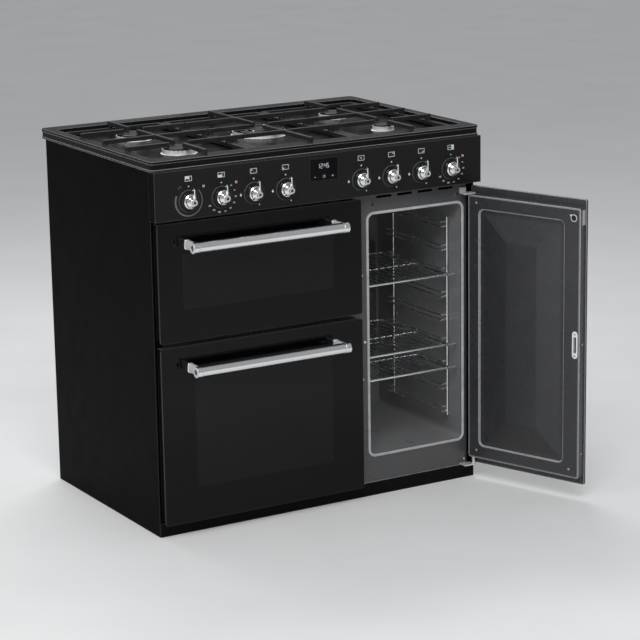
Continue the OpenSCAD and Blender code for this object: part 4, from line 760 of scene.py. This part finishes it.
def burner_details():
    """Base rings, cap rings, spark tips, the middle burner's wok pins and the pads under the pan supports."""
    burners = [(-SUPPORT_PITCH, 120, 42), (-SUPPORT_PITCH, -120, 40), (0, 0, 65), (SUPPORT_PITCH, 120, 35),
               (SUPPORT_PITCH, -120, 25)]
    cap_top, plug_out = 896.0, 5.0
    bases, caps, tips = bmesh.new(), bmesh.new(), bmesh.new()
    for x, y, r in burners:
        m = Matrix.Translation((x, y, 0))
        add_lathe(bases, [(r + 0.2, WELL_Z + 0.05), (r + 3.4, WELL_Z + 0.1), (r + 4.2, WELL_Z + 0.5),
                          (r + 2.4, WELL_Z + 1.5), (r + 0.25, WELL_Z + 1.9)], m, 48)
        # The middle burner has two rings, so its cap is much smaller than its crown
        rr = 26 if r > 50 else r - 12
        add_lathe(caps, [(rr - 3.4, cap_top - 0.05), (rr - 2.9, cap_top + 0.32), (rr - 0.9, cap_top + 0.32),
                         (rr - 0.4, cap_top - 0.05)], m, 48)
        add_lathe(tips, [(1.05, 888.2), (1.35, 888.6), (1.35, 891.6), (0.9, 893.2), (0, 893.5)],
                  Matrix.Translation((x + r + plug_out, y, 0)), 14)
    pin_circle = 47.5
    for k in range(4):
        t = math.radians(45 + 90 * k)
        add_lathe(bases, [(2.4, 895.9), (2.4, 897.0), (1.7, 897.7), (0, 897.75)],
                  Matrix.Translation((pin_circle * math.cos(t), pin_circle * math.sin(t), 0)), 16)
    finish_piece(bases, "burner_base_rings", "chassis", "burner_alloy")
    finish_piece(caps, "burner_cap_rings", "chassis", "cap_enamel")
    finish_piece(tips, "spark_tips", "chassis", "chrome")
    for tag, cx in (("left", -SUPPORT_PITCH), ("middle", 0), ("right", SUPPORT_PITCH)):
        bm = bmesh.new()
        for x in (cx - 134, cx + 134):
            for y in (-180, 180):
                add_lathe(bm, [(0, 0.3), (4.6, 0.35), (5.2, 0.9), (5.3, 3.0)], Matrix.Translation((x, y, WELL_Z)), 16)
        finish_piece(bm, "support_pads_" + tag, tag + "_support", "black_moulding")


def frame_details():
    bm = bmesh.new()
    for x, z in ((118, 745), (433, 745), (118, 48), (420, 48), (122, 300), (122, 560)):
        screw(bm, facing(x, FRAME_Y, z), 3.2, 1.3)
    finish_piece(bm, "frame_screws", "chassis", "spindle_steel")
    # Dark buffers in the frame's top corners
    bm = bmesh.new()
    for s in (-1, 1):
        add_lathe(bm, [(0, 1.75), (2.6, 1.7), (3.6, 1.45), (3.9, 1.4)], facing(RIGHT_CX + s * 123, FRAME_Y, 731.5), 24)
    finish_piece(bm, "frame_buffers", "chassis", "black_moulding")


def back_details():
    bm = bmesh.new()
    spots = [(x, z) for x in (-430, -215, 0, 215, 430) for z in (45, 866)]
    spots += [(s * 430, z) for s in (-1, 1) for z in (250, 450, 650)]
    for x, z in spots:
        screw(bm, backing(x, BACK_Y, z), 3.6, 1.6)
    box_x = -330
    for s in (-1, 1):
        for z in (123, 177):
            screw(bm, backing(box_x + s * 36, BOX_Y, z), 3.0, 1.2)
    finish_piece(bm, "back_screws", "chassis", "spindle_steel")
    # Pressed lips over the louvres, as (outwards, upwards) from the back panel
    lip = [(0.0, 5.0), (1.2, 4.6), (2.6, 3.0), (3.0, 1.2), (2.3, 1.2), (1.4, 3.0), (0.0, 4.2)]
    bm = bmesh.new()
    for cx in (-240, 0, 240):
        for z in range(620, 732, 14):
            a, b = [[bm.verts.new((x, BACK_Y + out, z + up)) for out, up in lip] for x in (cx - 77, cx + 77)]
            for k in range(len(lip)):
                j = (k + 1) % len(lip)
                bm.faces.new([a[k], a[j], b[j], b[k]])
            bm.faces.new(a)
            bm.faces.new(b[::-1])
    finish_piece(bm, "louvre_lips", "chassis", "galvanised_steel")
    # Terminal box cover and gland nut
    bm = bmesh.new()
    add_box(bm, (box_x - 43, BOX_Y, 117), (box_x + 43, BOX_Y + 1.6, 183))
    finish_piece(bm, "terminal_cover", "chassis", "black_moulding", bevel=0.7)
    bm = bmesh.new()
    add_lathe(bm, [(9.0, 103.2), (11.0, 103.2), (11.0, 110.5), (9.0, 110.5)], Matrix.Translation((box_x, 288, 0)), 6)
    finish_piece(bm, "gland_nut", "chassis", "black_moulding", bevel=0.4)
    # Hexagon and thread of the gas inlet
    inlet = Matrix.Translation((400, 289.4, 0))
    bm = bmesh.new()
    add_lathe(bm, [(10.4, 784.5), (12.1, 784.5), (12.1, 792.5), (10.4, 792.5)], inlet, 6)
    finish_piece(bm, "gas_hex", "chassis", "fitting_brass", bevel=0.5)
    first, turns, rise = 765.8, 9, 1.8
    thread = [(10.3, 765.4)]
    for i in range(turns):
        thread += [(10.32, first + i * rise), (10.55, first + i * rise + rise / 2)]
    bm = bmesh.new()
    add_lathe(bm, thread + [(10.3, 782.2)], inlet, 32)
    finish_piece(bm, "gas_thread", "chassis", "fitting_brass")


def oven_lamp():
    """A round lamp glass high on the left wall of the lower left oven."""
    m = sideways(-400.75, -60, 395, 1)
    bm = bmesh.new()
    add_lathe(bm, [(0, 3.4), (9, 3.1), (14, 2.0), (16, 0.3)], m, 32)
    finish_piece(bm, "lower_oven_lamp_glass", "chassis", "display_glass")
    bm = bmesh.new()
    add_lathe(bm, [(15.6, 0.0), (16.2, 2.2), (18.4, 2.4), (19.4, 0.0)], m, 36)
    finish_piece(bm, "lower_oven_lamp_ring", "chassis", "chrome_wire")


def retone(node_name, mat, test, matrix=None):
    """Gives the faces that pass test(centre in mm, normal) another material; matrix shuts an open door first."""
    o = NODES[node_name]
    o.data.materials.append(MATS[mat])
    index = len(o.data.materials) - 1
    turn = matrix.to_3x3() if matrix else None
    for p in o.data.polygons:
        c, n = Vector(p.center) / MM, Vector(p.normal)
        if matrix:
            c, n = matrix @ c, turn @ n
        if test(c, n):
            p.material_index = index


def left_door_details():
    """Inside each drop-down door: the dark inner pane, a trim round it, and screws along the top."""
    side, low, top = 62, 67, 62  # the window's distances from the liner's edges
    for tag in ("upper", "lower"):
        name = tag + "_door_liner"
        xs, zs = [[v.co[k] / MM for v in NODES[name].data.vertices] for k in (0, 2)]
        x0, x1, z0, z1 = min(xs), max(xs), min(zs), max(zs)
        rows = []
        for grow, y in ((-1.2, PANE_Y + 0.05), (-1.2, DOOR_BACK_Y + 0.2), (0.4, DOOR_BACK_Y + 0.7),
                        (3.6, DOOR_BACK_Y + 0.6), (4.4, DOOR_BACK_Y - 0.1)):
            rows.append((round_path(x0 + side - grow, z0 + low - grow, x1 - side + grow, z1 - top + grow,
                                    8 + grow, 8), y))
        bm = bmesh.new()
        add_strip(bm, rows)
        finish_piece(bm, tag + "_pane_trim", tag + "_door", "arm_steel")
        bm = bmesh.new()
        for x in (x0 + 18, (x0 + x1) / 2, x1 - 18):
            screw(bm, backing(x, DOOR_BACK_Y, z1 - 11), 3.0, 1.1)
        finish_piece(bm, tag + "_liner_screws", tag + "_door", "spindle_steel")
        retone(name, "door_glass", lambda c, n: n.y > 0.9 and abs(c.y - PANE_Y) < 0.3)


def face_materials():
    """Faces that differ in material from the rest of their node."""
    # The terminal box is a black moulding, though its node shares the brass fittings' slot
    retone("service_inlets", "black_moulding", lambda c, n: c.z < 300)
    # The returns at the left end take the darker side enamel as painted shade; then the handles' arms, and the tall
    # door's skin seen from inside
    for name in ("control_fascia", "upper_door_liner", "lower_door_liner"):
        retone(name, "side_enamel", lambda c, n: n.x < -0.8 and c.x < -400)
    for name, matrix in (("upper_door_handle", None), ("lower_door_handle", None),
                         ("right_door_handle", TALL.inverted())):
        retone(name, "arm_steel", lambda c, n: c.y > -340 or abs(n.x) > 0.95, matrix)
    # The skin's inner and top faces take the liner enamel, whose painted facet shading makes the top faces lighter
    retone("right_door_skin", "liner_enamel", lambda c, n: n.y > 0.8 or n.z > 0.8, TALL.inverted())


fascia_prints()
clock_face()
knob_inserts()
seal("right_seal_lip", "right_oven_seal", [(140.75, 105, 410.75, 707)])
seal("left_seal_lip", "left_oven_seals", [(-400.75, 528, 59.25, 733), (-400.75, 85, 59.25, 430)])
handle_caps("upper_handle", "upper_door", -378.0, 36.5, 702.5)
handle_caps("lower_handle", "lower_door", -378.0, 36.5, 410.0)
handle_caps("right_handle", "right_door", 174.5, 380.0, 702.5, TALL)
tall_door_details()
burner_details()
frame_details()
back_details()
oven_lamp()
face_materials()
left_door_details()


# ---------- stage, light, camera ----------

def stage():
    """A wide pale floor, a soft grey sky and three soft lamps."""
    m = Mat("stage_floor", (0.8, 0.8, 0.8), rough=0.7)
    m.colour(m.wander(3, 3, 0.3, 0.7, (0.78, 0.78, 0.78), (0.82, 0.82, 0.82)))
    # The floor looks paler than the light on it makes it, without adding light to the object
    path = m.nt.nodes.new("ShaderNodeLightPath")
    seen = m.math("MAXIMUM", path.outputs["Is Camera Ray"],
                  m.math("MAXIMUM", path.outputs["Is Glossy Ray"], path.outputs["Is Transmission Ray"]))
    m.p.inputs["Emission Color"].default_value = (1, 1, 1, 1)
    m.link(m.math("MULTIPLY", seen, 0.1), m.p.inputs["Emission Strength"])
    bm = bmesh.new()
    bmesh.ops.create_grid(bm, x_segments=1, y_segments=1, size=40)
    mesh = bpy.data.meshes.new("studio_floor")
    bm.to_mesh(mesh)
    bm.free()
    mesh.materials.append(m.m)
    o = bpy.data.objects.new("studio_floor", mesh)
    bpy.context.scene.collection.objects.link(o)

    w = bpy.data.worlds.new("studio")
    bpy.context.scene.world = w
    w.use_nodes = True
    w.node_tree.nodes["Background"].inputs["Color"].default_value = (0.85, 0.87, 0.9, 1)
    w.node_tree.nodes["Background"].inputs["Strength"].default_value = 0.35

    def area(name, loc, target, size, power):
        d = bpy.data.lights.new(name, "AREA")
        d.shape = "RECTANGLE"
        d.size, d.size_y = size
        d.energy = power
        lo = bpy.data.objects.new(name, d)
        lo.location = loc
        lo.rotation_mode = "QUATERNION"
        lo.rotation_quaternion = (Vector(target) - Vector(loc)).to_track_quat("-Z", "Y")
        bpy.context.scene.collection.objects.link(lo)

    area("key_soft", (-1.2, -2.8, 3.4), (0, 0, 0.5), (2.4, 1.6), 70)
    area("fill_left", (-3.4, -0.6, 1.6), (0, 0, 0.5), (1.6, 2.2), 28)
    area("rim_top", (0.4, 1.6, 3.0), (0, 0, 0.7), (2.6, 0.8), 40)


def camera():
    """The photograph's viewpoint, as fitted to the part."""
    place = (-2.870897, -5.124934, 1.845416)
    yaw, pitch, roll = 0.535, 0.240, -0.016
    focal_px, picture_px, sensor_mm = 2413.271, 640, 36
    d = bpy.data.cameras.new("camera")
    cam = bpy.data.objects.new("camera", d)
    bpy.context.scene.collection.objects.link(cam)
    fw = Vector((math.sin(yaw) * math.cos(pitch), math.cos(yaw) * math.cos(pitch), -math.sin(pitch)))
    right = Vector((math.cos(yaw), -math.sin(yaw), 0))
    up = right.cross(fw)
    r2 = right * math.cos(roll) + up * math.sin(roll)
    u2 = -right * math.sin(roll) + up * math.cos(roll)
    rot = Matrix((r2, u2, -fw)).transposed().to_4x4()
    cam.matrix_world = Matrix.Translation(place) @ rot
    d.sensor_width = sensor_mm
    d.sensor_fit = "HORIZONTAL"
    d.lens = focal_px / picture_px * sensor_mm
    d.clip_end = 60
    bpy.context.scene.camera = cam


stage()
camera()
bpy.context.scene.view_settings.view_transform = "Standard"
